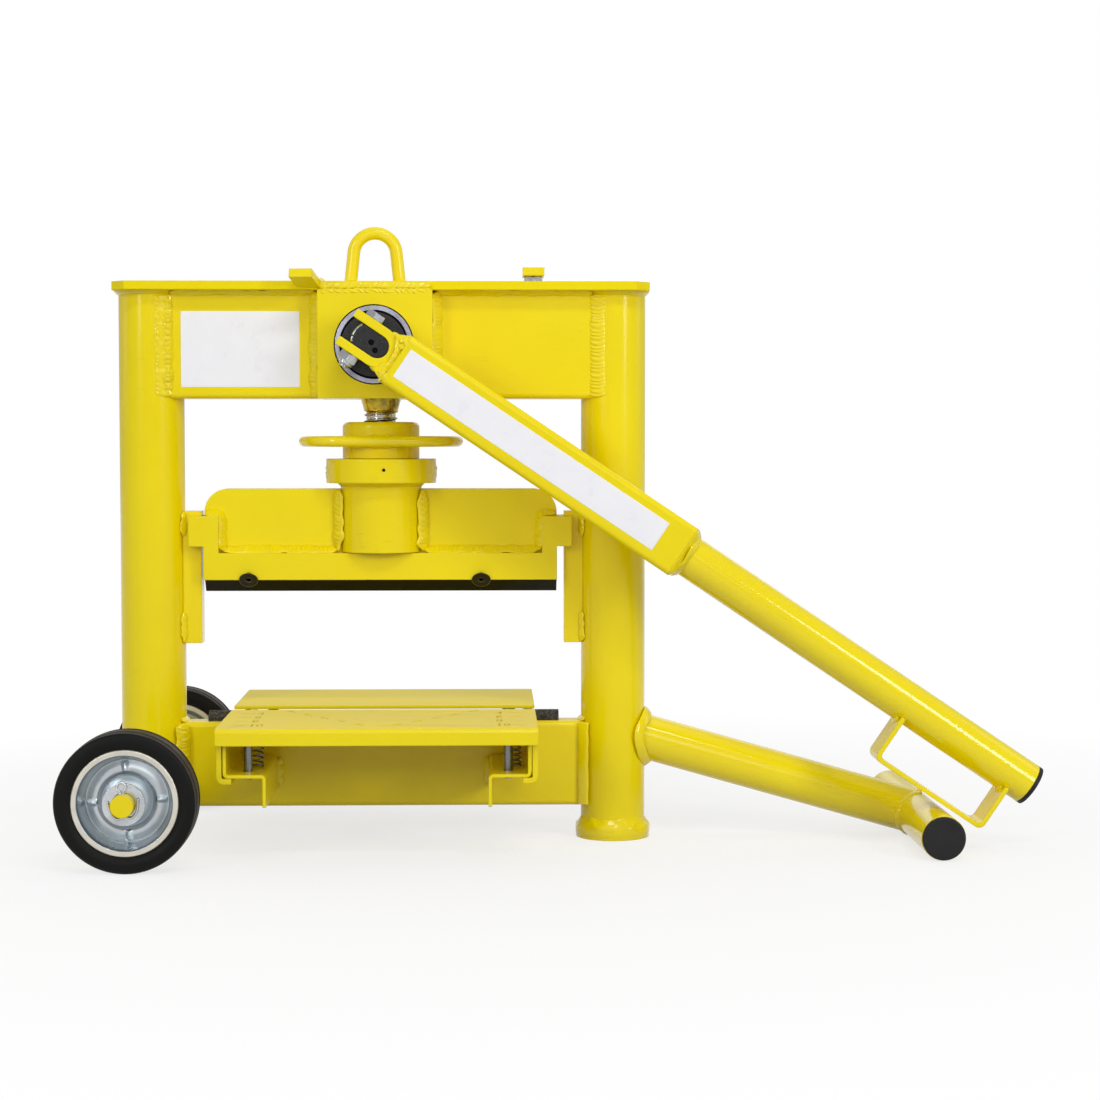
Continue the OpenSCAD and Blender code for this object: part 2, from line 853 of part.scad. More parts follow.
module spring() {
    n = len(spring_path);
    m = spring_sides;
    points = [for (i = [0 : n - 1]) each ring_at(i)];
    walls = [
        for (i = [0 : n - 2])
            for (k = [0 : m - 1])
                let (a = i * m + k, b = i * m + (k + 1) % m)
                    each [[a, b + m, b], [a, a + m, b + m]]
    ];
    ends = [
        for (k = [1 : m - 2])
            each [[0, k, k + 1], [(n - 1) * m, (n - 1) * m + k + 1, (n - 1) * m + k]]
    ];
    polyhedron(points, concat(walls, ends));
}

module table_springs(back) {
    color(zinc) placed() translate([0, 0, back ? back_lift : 0])
        for (side = [-1, 1])
            translate([side * rod_x + spring_side, (back ? 1 : -1) * spring_y, shelf_top + spring_room]) spring();
}

module front_table_springs() {
    table_springs(false);
}

module back_table_springs() {
    table_springs(true);
}

module on_shaft() {
    placed() translate([shaft_x, 0, shaft_z]) children();
}

// The lever's own frame: X along the lever, Y from its middle plane
module on_lever() {
    placed() translate([shaft_x, -lever_out, shaft_z]) rotate([0, lever_rest, 0]) children();
}

// The stub's section fills the fork, and its round end has a chamfer
module stub() {
    length = stub_front - housing_front;
    edge = length - stub_chamfer;
    intersection() {
        rotate([90, 0, 0]) union() {
            bar_zz(stub_d, housing_front, housing_front + edge);
            translate([0, 0, housing_front + edge])
                cylinder(d1 = stub_d, d2 = stub_d - 2 * stub_chamfer, h = stub_chamfer);
        }
        rotate([0, lever_rest, 0]) translate([0, -housing_front - length / 2, 0]) plate_xz(length) {
            translate([-stub_d, -stub_flats / 2]) square([stub_d + strap_bend_s, stub_flats]);
            translate([strap_bend_s, 0]) circle(d = stub_flats);
        }
    }
}

module fork_bolt_space(room) {
    translate([-fork_bolt_s, 0, 0]) bar_zz(fork_bolt_d + 2 * room, -stub_d, stub_d);
}

module eccentric_shaft() {
    rear = housing_front + slide_gap + ring_w + 4;
    color(dark) on_shaft() difference() {
        union() {
            bar_y(journal_d, -housing_front, -cavity_d / 2);
            translate([throw_x, 0, throw_z]) bar_y(eccentric_d, -cavity_d / 2, cavity_d / 2);
            bar_y(journal_d, cavity_d / 2, rear);
            stub();
        }
        translate([0, -lever_out, 0]) rotate([0, lever_rest, 0]) fork_bolt_space(hole_room / 2);
        for (centre = [[0, 0], [throw_x, throw_z]])
            translate([centre.x, 0, centre.y]) bar_y(centre_hole_d, -stub_front - over, centre_hole_h - stub_front);
        difference() {
            bar_y(journal_d + 2 * over, housing_front + slide_gap, housing_front + slide_gap + ring_w);
            bar_y(journal_d - 2 * ring_bite, housing_front, rear);
        }
    }
}

// A snap ring in the shaft's rear groove keeps the shaft in its bushes
module shaft_retainer() {
    y0 = housing_front + slide_gap + weld_gap;
    y1 = housing_front + slide_gap + ring_w - weld_gap;
    color(zinc) on_shaft() difference() {
        bar_y(journal_d + 8, y0, y1);
        bar_y(journal_d - 2 * ring_bite + 2 * weld_gap, y0 - over, y1 + over);
    }
}

module lever_fork() {
    color(paint) on_lever() difference() {
        plate_xz(strap_w) difference() {
            union() {
                translate([strap_end_s, -strap_out]) square([strap_bend_s - strap_end_s, 2 * strap_out]);
                translate([strap_bend_s, 0]) circle(r = strap_out);
            }
            translate([strap_end_s - over, -strap_in]) square([strap_bend_s - strap_end_s + over, 2 * strap_in]);
            translate([strap_bend_s, 0]) circle(r = strap_in);
        }
        fork_bolt_space(hole_room / 2);
    }
}

// A square tube with a tapered nose that is coped round the fork
module lever_box() {
    w = box_w / 2;
    nose = [[nose_s, strap_out], [box_s, w], [box_s, -w], [nose_s, -strap_out]];
    nose_d = box_w - 2 * box_corner;
    color(paint) on_lever() {
        profile_x(box_s, box_end - end_plate_t) box_section(box_w, box_w, box_wall, box_corner);
        plate_xz(nose_d) difference() {
            polygon(nose);
            translate([strap_bend_s, 0]) circle(r = strap_out + weld_gap);
        }
        profile_x(box_s, box_s + box_wall) square(nose_d, center = true);
    }
}

module box_end_plate() {
    color(paint) on_lever() difference() {
        hull() {
            profile_x(box_end - end_plate_t, box_end - end_plate_t + end_land) round_rect(box_w, box_w, box_corner);
            profile_x(box_end - end_land, box_end) round_rect(box_w - 2 * end_slope, box_w - 2 * end_slope, box_corner);
        }
        bar_x(tube_d + 2 * weld_gap, box_end - end_plate_t - over, box_end + over);
    }
}

module lever_tube() {
    color(paint) on_lever() difference() {
        bar_x(tube_d, tube_s, lever_reach - cap_t);
        bar_x(tube_d - 2 * tube_wall, tube_s - over, lever_reach);
    }
}

module lever_cap() {
    bore = tube_d - 2 * tube_wall - 2 * weld_gap;
    color(dark) on_lever() {
        bar_x(bore, lever_reach - cap_t - cap_stem, lever_reach - cap_t);
        bar_x(tube_d, lever_reach - cap_t, lever_reach);
    }
}

// A flat strap bent into a loop under the tube's end
module grip_loop() {
    h = loop_drop - loop_top;
    color(paint) on_lever() difference() {
        translate([loop_s + loop_l / 2, 0, -loop_drop]) plate_xz(loop_w) difference() {
            translate([0, loop_drop / 2]) round_rect(loop_l, loop_drop, loop_corner);
            translate([0, loop_drop / 2 + loop_t])
                round_rect(loop_l - 2 * loop_t, loop_drop, loop_corner - loop_t / 2);
            translate([-loop_l, h]) square(2 * loop_l);
        }
        bar_x(tube_d + 2 * weld_gap, loop_s - over, loop_s + loop_l + over);
    }
}

module fork_bolt() {
    end = strap_out + nut_h + nut_collar + 3;
    color(zinc) on_lever() translate([-fork_bolt_s, 0, 0]) {
        bar_zz(fork_bolt_d, -end, strap_out);
        translate([0, 0, strap_out]) cylinder(d = bolt_head / cos(30), h = bolt_head_h, $fn = 6);
    }
}

module fork_nut() {
    color(zinc) on_lever() translate([-fork_bolt_s, 0, -strap_out]) mirror([0, 0, 1]) difference() {
        union() {
            cylinder(d = bolt_head / cos(30), h = nut_h, $fn = 6);
            cylinder(d = bolt_head * 0.86, h = nut_h + nut_collar);
        }
        bar_zz(fork_bolt_d + 2 * weld_gap, -over, nut_h + nut_collar + over);
    }
}

module at_spindle() {
    placed() translate([spindle_x, 0, 0]) children();
}

// The eccentric lifts and lowers the spindle in this yoke's slot
module spindle_yoke() {
    w = yoke_slot_w + 2 * yoke_side;
    h = yoke_floor + yoke_slot_h + yoke_top_t;
    color(dark) at_spindle() translate([0, 0, yoke_z]) difference() {
        translate([-w / 2, -yoke_t / 2, 0]) cube([w, yoke_t, h]);
        translate([-yoke_slot_w / 2, -yoke_t / 2 - over, yoke_floor])
            cube([yoke_slot_w, yoke_t + 2 * over, yoke_slot_h]);
    }
}

module spindle() {
    taper_z = upper_beam_z - taper_h;
    color(zinc) at_spindle() rotate_extrude()
        polygon([
            [0, spindle_z], [spindle_d / 2, spindle_z], [spindle_d / 2, taper_z],
            [neck_d / 2, upper_beam_z], [neck_d / 2, yoke_z], [0, yoke_z]
        ]);
}

module sleeve() {
    color(paint) at_spindle() difference() {
        bar_zz(sleeve_d, sleeve_z, collar_z);
        bar_zz(sleeve_bore, sleeve_z - over, collar_z + over);
    }
}

module collar() {
    color(paint) at_spindle() difference() {
        bar_zz(collar_d, collar_z, collar_top);
        bar_zz(nut_neck_d + 2 * run_fit, collar_z - over, collar_top + over);
        translate([0, 0, collar_z + collar_h * 0.55]) rotate([0, 0, 5]) bar_y(grease_hole, -collar_d, 0);
    }
}

// A blade screw sits in a slanted pocket at the lower edge of the front bar
module at_screws() {
    for (x = [screw_left, screw_right])
        translate([x, -half_web - bar_t, bar_z]) rotate([screw_tilt - 90, 0, 0]) children();
}

module screw_space() {
    at_screws() {
        cylinder(d1 = screw_head_d + 2 * weld_gap, d2 = screw_d + 2 * weld_gap, h = screw_cone_h);
        bar_zz(screw_d + 2 * weld_gap, 0, screw_l + weld_gap);
        bar_zz(screw_head_d + 2 * weld_gap, -bar_t, 0);
    }
}

module carriage_web() {
    h = web_top - blade_top;
    color(paint) at_spindle() difference() {
        translate([0, 0, blade_top]) plate_xz(web_t) {
            translate([-blade_l / 2, 0]) square([blade_l, h - web_corner]);
            translate([web_corner - blade_l / 2, 0]) square([blade_l - 2 * web_corner, h]);
            for (side = [-1, 1])
                translate([side * (blade_l / 2 - web_corner), h - web_corner]) circle(r = web_corner);
        }
        bar_zz(sleeve_d + 2 * weld_gap, sleeve_z - weld_gap, web_top + over);
        screw_space();
    }
}

// A flat bar with two uprights and two ears that ride over the guide bars
module side_bar() {
    half = blade_l / 2;
    plate_xz(bar_t) {
        translate([-half, bar_z]) square([blade_l, bar_h]);
        for (side = [0, 1])
            mirror([side, 0]) {
                translate([half - upright_w, bar_z]) square([upright_w, ear_top - bar_z]);
                translate([half - over, ear_z]) square([(ear_l - blade_l) / 2 + over, ear_h]);
            }
    }
}

module carriage_bar_front() {
    color(paint) at_spindle() difference() {
        translate([0, -half_web - bar_t / 2, 0]) side_bar();
        screw_space();
    }
}

module carriage_bar_back() {
    color(paint) at_spindle() translate([0, half_web + bar_t / 2, 0]) side_bar();
}

module upper_blade() {
    edge = [
        [-half_web, blade_top], [-half_web, bar_z], [-blade_tip, edge_z],
        [blade_tip, edge_z], [half_web, bar_z], [half_web, blade_top]
    ];
    color(dark) at_spindle() difference() {
        profile_x(-blade_l / 2, blade_l / 2) polygon(edge);
        screw_space();
    }
}

module blade_screws() {
    color(dark) at_spindle() at_screws() difference() {
        union() {
            cylinder(d1 = screw_head_d, d2 = screw_d, h = screw_cone_h);
            bar_zz(screw_d, 0, screw_l);
        }
        translate([0, 0, -over]) cylinder(d = socket_d, h = socket_h + over, $fn = 6);
    }
}

module handwheel_nut() {
    r = nut_d / 2;
    color(paint) at_spindle() difference() {
        union() {
            rotate_extrude() {
                translate([0, nut_z]) square([r, nut_top - nut_round - nut_z]);
                translate([0, nut_z]) square([r - nut_round, nut_top - nut_z]);
                translate([r - nut_round, nut_top - nut_round]) circle(r = nut_round);
            }
            bar_zz(nut_neck_d, neck_end, nut_z);
        }
        bar_zz(spindle_d + 2 * run_fit, neck_end - over, nut_top + over);
        difference() {
            bar_zz(nut_neck_d + over, ring_top - ring_h, ring_top);
            bar_zz(nut_neck_d - ring_groove, neck_end, nut_z);
        }
    }
}

// A long closed loop of rod, held against the front and back of the nut
module handwheel_grip() {
    bend = nut_d / 2 + weld_gap + grip_rod / 2;
    straight = grip_l / 2 - grip_rod / 2 - bend;
    color(paint) at_spindle() translate([0, 0, grip_z]) {
        for (side = [-1, 1])
            translate([0, side * bend, 0]) bar_x(grip_rod, -straight, straight);
        for (side = [0, 180])
            rotate([0, 0, side]) translate([straight, 0, 0]) rotate([0, 0, -90])
                rotate_extrude(angle = 180) translate([bend, 0]) circle(d = grip_rod);
    }
}

// A split ring in the nut's neck, which carries the carriage
module thrust_ring() {
    color(zinc) at_spindle() difference() {
        bar_zz(ring_d, ring_top - ring_h + weld_gap, ring_top - weld_gap);
        bar_zz(nut_neck_d - ring_groove + 2 * weld_gap, ring_top - ring_h - over, ring_top + over);
    }
}

// The plate's section, from its inner edge to the turned-down lip
module table_section() {
    bend_y = table_out - lip_round;
    bend_z = table_top - lip_round;
    translate([-bend_y, table_top - table_t]) square([bend_y - table_in, table_t]);
    translate([-table_out, table_top - lip_h]) square([table_t, lip_h - lip_round]);
    intersection() {
        translate([-bend_y, bend_z]) difference() {
            circle(r = lip_round);
            circle(r = lip_round - table_t);
        }
        translate([-table_out, bend_z]) square(lip_round);
    }
}

// Cut marks: a V of dashes for round stones, and a scale of ticks along both sides
module table_marks() {
    z0 = table_top - table_t - over;
    h = table_t + 2 * over;
    reach = table_out - table_in;
    first = [-0.3 * table_w, -table_in - 0.1 * reach];
    last = [-0.06 * table_w, -table_in - 0.78 * reach];
    lean = atan2(last.y - first.y, last.x - first.x);
    for (side = [0, 1])
        mirror([side, 0, 0]) {
            for (i = [0 : dash_count - 1]) {
                at = first + (last - first) * i / (dash_count - 1);
                translate([at.x, at.y, z0]) rotate([0, 0, lean]) translate([-dash_l / 2, -dash_w / 2, 0])
                    cube([dash_l, dash_w, h]);
            }
            for (i = [1 : tick_count])
                translate([tick_in - table_w / 2, -table_in - reach * i / (tick_count + 1), z0])
                    cube([tick_l, tick_w, h]);
        }
}

module table_plate() {
    profile_x(-table_w / 2, table_w / 2) table_section();
}

// One L-shaped hook on the right, whose foot catches under the shelf
module hook() {
    mid = hook_t / 2;
    foot_z = shelf_z - slide_gap - mid;
    path = [
        [hook_x + mid, table_top - table_t], [hook_x + mid, foot_z],
        [hook_x + hook_t - hook_foot, foot_z]
    ];
    translate([0, -bracket_out + hook_l / 2, 0]) plate_xz(hook_l) bent_strip(path, hook_t);
}

module guide_rod() {
    translate([rod_x, -rod_y, 0]) bar_zz(rod_d, rod_end, table_top - table_t);
}

module front_table_plate() {
    color(paint) placed() difference() {
        table_plate();
        table_marks();
    }
}

module front_table_hooks() {
    color(paint) placed() table_pair(false) hook();
}

module front_table_rods() {
    color(zinc) placed() table_pair(false) guide_rod();
}

module back_table_plate() {
    color(paint) placed() translate([0, 0, back_lift]) mirror([0, 1, 0]) table_plate();
}

module back_table_hooks() {
    color(paint) placed() table_pair(true) hook();
}

module back_table_rods() {
    color(zinc) placed() table_pair(true) guide_rod();
}

// The wheel's own frame: its axis along Y, its outer face towards -Y
module at_wheel(back) {
    placed() translate([axle_x, back ? wheel_y : -wheel_y, wheel_r]) rotate([0, 0, back ? 180 : 0])
        rotate([90, 0, 0]) children();
}

module tyre() {
    w = wheel_w / 2;
    shoulder = 5;
    groove_w = 1.6;
    groove_h = 1.2;
    rotate_extrude() difference() {
        union() {
            translate([rim_r - 2, -w]) square([wheel_r - shoulder - rim_r + 2, wheel_w]);
            translate([rim_r - 2, shoulder - w]) square([wheel_r - rim_r + 2, wheel_w - 2 * shoulder]);
            for (side = [-1, 1])
                translate([wheel_r - shoulder, side * (w - shoulder)]) circle(r = shoulder);
        }
        for (at = [-0.36, -0.22, 0.22, 0.36])
            translate([wheel_r - groove_h, at * wheel_w - groove_w / 2]) square([2 * groove_h, groove_w]);
    }
}

// A rim of two pressed discs: a rolled lip, a deep dish, and a raised ring with four ribs
module rim() {
    r_in = bush_out_d / 2 + weld_gap;
    outer = rim_r - 2 - weld_gap;
    ring_in = 0.54 * outer;
    ring_out = 0.78 * outer;
    ring_edge = 3;
    face = [
        [r_in, dish_y], [ring_in, dish_y], [ring_in + ring_edge, crest_y], [ring_out - ring_edge, crest_y],
        [ring_out, dish_y], [outer - lip_w, rim_in - 1], [outer - lip_w + 1, rim_in], [outer, rim_in]
    ];
    back = [for (i = [len(face) - 1 : -1 : 0]) [face[i].x, -face[i].y]];
    ribs = 4;
    rotate_extrude() polygon(concat(face, back));
    for (i = [0 : ribs - 1])
        rotate([0, 0, 360 * i / ribs])
            for (side = [-1, 1])
                translate([0, 0, side * crest_y]) bar_x(4, ring_in + ring_edge / 2, ring_out - ring_edge / 2);
}

module hub_bush() {
    difference() {
        bar_zz(bush_out_d, -hub_l / 2, hub_l / 2);
        bar_zz(axle_d + 2 * run_fit, -hub_l / 2 - over, hub_l / 2 + over);
    }
}

module front_tyre() {
    color(dark) at_wheel(false) tyre();
}

module front_rim() {
    color(zinc) at_wheel(false) rim();
}

module front_hub_bush() {
    color(zinc) at_wheel(false) hub_bush();
}

module back_tyre() {
    color(dark) at_wheel(true) tyre();
}

module back_rim() {
    color(zinc) at_wheel(true) rim();
}

module back_hub_bush() {
    color(zinc) at_wheel(true) hub_bush();
}

left_post();
right_post();
foot_disc();
top_plate();
upper_beam_left();
upper_beam_right();
eccentric_housing();
shaft_bushes();
lower_beam();
lower_blade();
guide_bar_left();
guide_bar_right();
stand_leg();
stand_crossbar();
crossbar_plugs();
axle();
axle_spacers();
axle_washers();
split_pins();
lifting_eye();
lever_stop();
keeper_tab();
keeper_bolt();
table_brackets();
front_table_springs();
back_table_springs();
eccentric_shaft();
shaft_retainer();
lever_fork();
lever_box();
box_end_plate();
lever_tube();
lever_cap();
grip_loop();
fork_bolt();
fork_nut();
spindle_yoke();
spindle();
sleeve();
collar();
carriage_web();
carriage_bar_front();
carriage_bar_back();
upper_blade();
blade_screws();
handwheel_nut();
handwheel_grip();
thrust_ring();
front_table_plate();
front_table_hooks();
front_table_rods();
back_table_plate();
back_table_hooks();
back_table_rods();
front_tyre();
front_rim();
front_hub_bush();
back_tyre();
back_rim();
back_hub_bush();
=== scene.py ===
import json
import math
import bmesh
import bpy
import numpy as np
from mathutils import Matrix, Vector


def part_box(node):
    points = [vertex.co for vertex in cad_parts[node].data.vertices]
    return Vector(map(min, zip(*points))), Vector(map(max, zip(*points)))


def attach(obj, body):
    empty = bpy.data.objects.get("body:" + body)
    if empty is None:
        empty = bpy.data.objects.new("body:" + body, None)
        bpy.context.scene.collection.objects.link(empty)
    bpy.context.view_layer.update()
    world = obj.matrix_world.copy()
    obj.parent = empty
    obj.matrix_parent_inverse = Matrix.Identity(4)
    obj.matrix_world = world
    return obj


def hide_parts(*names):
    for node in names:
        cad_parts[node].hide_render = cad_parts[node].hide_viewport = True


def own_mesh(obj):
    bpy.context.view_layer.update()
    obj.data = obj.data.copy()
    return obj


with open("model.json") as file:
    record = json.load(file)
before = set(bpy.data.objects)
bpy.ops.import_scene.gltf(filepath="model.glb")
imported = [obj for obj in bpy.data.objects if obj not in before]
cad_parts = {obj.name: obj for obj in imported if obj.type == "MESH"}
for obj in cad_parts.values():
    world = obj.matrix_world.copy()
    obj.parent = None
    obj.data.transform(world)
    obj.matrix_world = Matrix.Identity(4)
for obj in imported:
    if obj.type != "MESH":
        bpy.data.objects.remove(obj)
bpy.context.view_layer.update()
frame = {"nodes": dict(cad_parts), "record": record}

scene = bpy.context.scene
scene.view_settings.view_transform = "Standard"

# the press's middle plane lies halfway between the posts
middleX = (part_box("left_post")[0].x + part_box("right_post")[1].x) / 2
up = np.array([0.0, 0.0, 1.0])
halves = {"front": -1, "back": 1}  # which way along y
print("frame loaded:", len(frame["nodes"]), "nodes")


def press(points):
    # millimetres measured from the press's middle plane -> metres in the frame
    p = np.array(points, float) / 1000
    p[..., 0] += middleX
    return p


def newObject(name, data):
    made = bpy.data.objects.new(name, data)
    scene.collection.objects.link(made)
    return made


photoView = {"place": (95.6, -2226.9, 383.7), "pitchDown": 2.88, "yawRight": 1.58,
             "focal": 2359.3, "frame": 1100, "sensor": 36, "farthest": 50}


def makeCamera():
    v = photoView
    data = bpy.data.cameras.new("photoCamera")
    data.sensor_width = v["sensor"]
    data.lens = v["focal"] / v["frame"] * v["sensor"]
    data.clip_end = v["farthest"]
    camera = newObject("photoCamera", data)
    camera.location = press(v["place"])
    camera.rotation_euler = (math.radians(90 - v["pitchDown"]), 0, -math.radians(v["yawRight"]))
    scene.camera = camera


studio = {
    "softboxes": [
        # name, place, width, depth, watts
        ("keyBox", (0.5, -1.9, 2.45), 1.3, 0.22, 17),
        ("rightFrontBox", (1.9, -2.2, 1.15), 0.45, 1.1, 22),
        ("leftFrontBox", (-1.9, -2.3, 1.2), 0.45, 1.1, 17),
        ("frontBox", (0.1, -3.6, 1.5), 2.4, 1.0, 15),
        ("topBox", (0.0, 0.5, 2.7), 2.4, 2.0, 9),
        ("leftBox", (-2.7, 0.3, 1.2), 1.0, 1.6, 4),
        ("rightBox", (2.8, 0.4, 1.3), 1.0, 1.6, 5),
        ("backBox", (0.2, 2.8, 1.6), 3.4, 2.0, 14),
    ],
    "aim": (0, 0, 0.3),
    "skyLevel": 0.34,
    "skyMirrored": 0.55,
    "floorColour": (0.92, 0.92, 0.92, 1),
    "floorBounce": (0.5, 0.5, 0.5, 1),
    "floorSize": 9.0,
    "floorFade": (0.3, 1.0, 0.7, 1.0),  # from and to this far, from and to this much white
}


def makeLamps():
    # soft boxes whose -Z axes all look at one point of the press
    for name, place, width, depth, watts in studio["softboxes"]:
        lamp = bpy.data.lights.new(name, "AREA")
        lamp.shape = "RECTANGLE"
        lamp.size, lamp.size_y, lamp.energy = width, depth, watts
        box = newObject(name, lamp)
        box.location = place
        sight = Vector(studio["aim"]) - Vector(place)
        box.rotation_euler = sight.to_track_quat("-Z", "Y").to_euler()


makeCamera()
makeLamps()
print("camera and lamps set")


def setInputs(tree, node, inputs):
    # a number, colour or socket by the input's name with _ for a space, or by its place as i0, i1
    for key, value in inputs.items():
        byPlace = key[0] == "i" and key[1:].isdigit()
        socket = node.inputs[int(key[1:]) if byPlace else key.replace("_", " ")]
        if isinstance(value, bpy.types.NodeSocket):
            tree.links.new(value, socket)
        else:
            socket.default_value = value
    return node


def addNode(tree, kind, props=None, **inputs):
    node = tree.nodes.new("ShaderNode" + kind)
    for key, value in (props or {}).items():
        setattr(node, key, value)
    return setInputs(tree, node, inputs)


def useGroup(tree, group, **inputs):
    return addNode(tree, "Group", {"node_tree": group}, **inputs)


def newGroup(name, inputs, outputs):
    # an empty shader group with named sockets: the tree, its inputs and its output node
    tree = bpy.data.node_groups.new(name, "ShaderNodeTree")
    for label, kind, value in inputs:
        socket = tree.interface.new_socket(label, in_out="INPUT", socket_type="NodeSocket" + kind)
        if value is not None:
            socket.default_value = value
    for label, kind in outputs:
        tree.interface.new_socket(label, in_out="OUTPUT", socket_type="NodeSocket" + kind)
    return tree, tree.nodes.new("NodeGroupInput").outputs, tree.nodes.new("NodeGroupOutput")


def closeGroup(tree, out, *values):
    for value, socket in zip(values, out.inputs):
        tree.links.new(value, socket)
    return tree


def noise(tree, where, scale, detail, rough=0.5):
    return addNode(tree, "TexNoise", Vector=where, Scale=scale, Detail=detail,
                   Roughness=rough).outputs[0]


def mixColour(tree, factor, a, b):
    return addNode(tree, "Mix", {"data_type": "RGBA"}, i0=factor, i6=a, i7=b).outputs[2]


def mathNode(tree, operation, a, b, clamp=False):
    props = {"operation": operation, "use_clamp": clamp}
    return addNode(tree, "Math", props, i0=a, i1=b).outputs[0]


def ramp(tree, value, low, high, outLow=0.0, outHigh=1.0):
    # straight line from (low, outLow) to (high, outHigh), held beyond both ends
    return addNode(tree, "MapRange", {"clamp": True}, Value=value, From_Min=low, From_Max=high,
                   To_Min=outLow, To_Max=outHigh).outputs[0]


def linear(rgb):
    # screen colour of 0..255 -> linear colour
    return tuple(c / 12.92 if c <= 0.04045 else ((c + 0.055) / 1.055) ** 2.4
                 for c in (level / 255 for level in rgb)) + (1,)


def makeOrangePeel():
    # two sizes of soft noise: the fine pebbling of powder coat over a slow waviness of the metal
    tree, given, out = newGroup(
        "orangePeel",
        [("Vector", "Vector", None), ("Peel Scale", "Float", 420.0), ("Wave Share", "Float", 0.6)],
        [("Height", "Float"), ("Tone", "Float")])
    fine = noise(tree, given[0], given[1], 2.0)
    slow = noise(tree, given[0], 38.0, 3.0, 0.55)
    tone = noise(tree, given[0], 7.0, 4.0, 0.6)
    height = mathNode(tree, "ADD", fine, mathNode(tree, "MULTIPLY", slow, given[2]))
    return closeGroup(tree, out, height, tone)


def makeHandlingMarks():
    # small rubbed spots and short scratches: noise pressed thin one way, kept only where two
    # noises agree
    tree, given, out = newGroup(
        "handlingMarks", [("Vector", "Vector", None), ("Spread", "Float", 0.5)],
        [("Mark", "Float"), ("Scratch", "Float")])
    spots = noise(tree, given[0], 23.0, 5.0, 0.7)
    gate = noise(tree, given[0], 5.0, 1.0)
    thin = addNode(tree, "Mapping", Vector=given[0], Rotation=(0.5, 0.9, 0.2),
                   Scale=(60.0, 60.0, 900.0))
    lines = noise(tree, thin.outputs[0], 1.0, 2.0)
    mark = mathNode(tree, "MULTIPLY", ramp(tree, spots, 0.63, 0.78), ramp(tree, gate, 0.5, 0.68))
    scratch = mathNode(tree, "MULTIPLY", ramp(tree, lines, 0.68, 0.74),
                       ramp(tree, gate, 0.56, 0.66))
    spread = [mathNode(tree, "MULTIPLY", m, given[1]) for m in (mark, scratch)]
    return closeGroup(tree, out, *spread)


def makeSoftEdge():
    # rounds the shading of sharp edges, and marks them where the rounded normal leaves the flat one
    tree, given, out = newGroup("softEdge", [("Radius", "Float", 0.0012)],
                                [("Normal", "Vector"), ("Edge", "Float")])
    bevel = addNode(tree, "Bevel", {"samples": 6}, Radius=given[0]).outputs[0]
    flat = addNode(tree, "NewGeometry").outputs["Normal"]
    dot = addNode(tree, "VectorMath", {"operation": "DOT_PRODUCT"}, i0=bevel, i1=flat)
    return closeGroup(tree, out, bevel, ramp(tree, dot.outputs["Value"], 0.995, 0.85))


def makeSteelGrain():
    # drawn or turned metal: noise stretched along one axis, with a slower cloud of tone
    tree, given, out = newGroup(
        "steelGrain",
        [("Vector", "Vector", None), ("Stretch", "Vector", (300.0, 300.0, 300.0))],
        [("Grain", "Float"), ("Cloud", "Float")])
    scaled = addNode(tree, "VectorMath", {"operation": "MULTIPLY"}, i0=given[0], i1=given[1])
    grain = noise(tree, scaled.outputs[0], 1.0, 4.0, 0.65)
    cloud = noise(tree, given[0], 45.0, 4.0, 0.6)
    return closeGroup(tree, out, grain, cloud)


orangePeel = makeOrangePeel()
handlingMarks = makeHandlingMarks()
softEdge = makeSoftEdge()
steelGrain = makeSteelGrain()


def startMaterial(name):
    material = bpy.data.materials.new(name)
    material.use_nodes = True
    tree = material.node_tree
    tree.nodes.clear()
    shader = addNode(tree, "BsdfPrincipled")
    addNode(tree, "OutputMaterial", Surface=shader.outputs[0])
    where = addNode(tree, "TexCoord").outputs["Object"]
    return material, tree, shader, where


def finishSurface(tree, shader, v, colour, rough, height, depth, edge):
    # what all finishes share: colour, roughness, gloss, and a fine bump over softened edges
    bump = addNode(tree, "Bump", Strength=v["bump"], Distance=depth, Height=height,
                   Normal=edge.outputs["Normal"])
    setInputs(tree, shader, {"Base_Color": colour, "Roughness": rough, "Normal": bump.outputs[0],
                             "Specular_IOR_Level": v["level"]})


paintValues = {
    "colour": (245, 224, 8), "deep": (241, 218, 4), "dirt": (150, 128, 30),
    "scratch": (120, 112, 90), "peelScale": 420.0, "marks": 0.3, "edge": 0.0016, "rough": 0.18,
    "bump": 0.18, "level": 0.3,
}
paintKinds = {
    "yellowPaint": {},
    "weldPaint": {"peelScale": 260.0, "rough": 0.12, "bump": 0.16, "edge": 0.0002, "marks": 0.15,
                  "level": 0.42},
    "axlePaint": {"marks": 1.0, "peelScale": 300.0},
    "collarPaint": {"edge": 0.003},
    "tablePaint": {"rough": 0.42, "level": 0.1},
    "tubePaint": {"rough": 0.11, "level": 0.42},
    "foldPaint": {"rough": 0.14, "level": 0.4, "bump": 0.08},
}


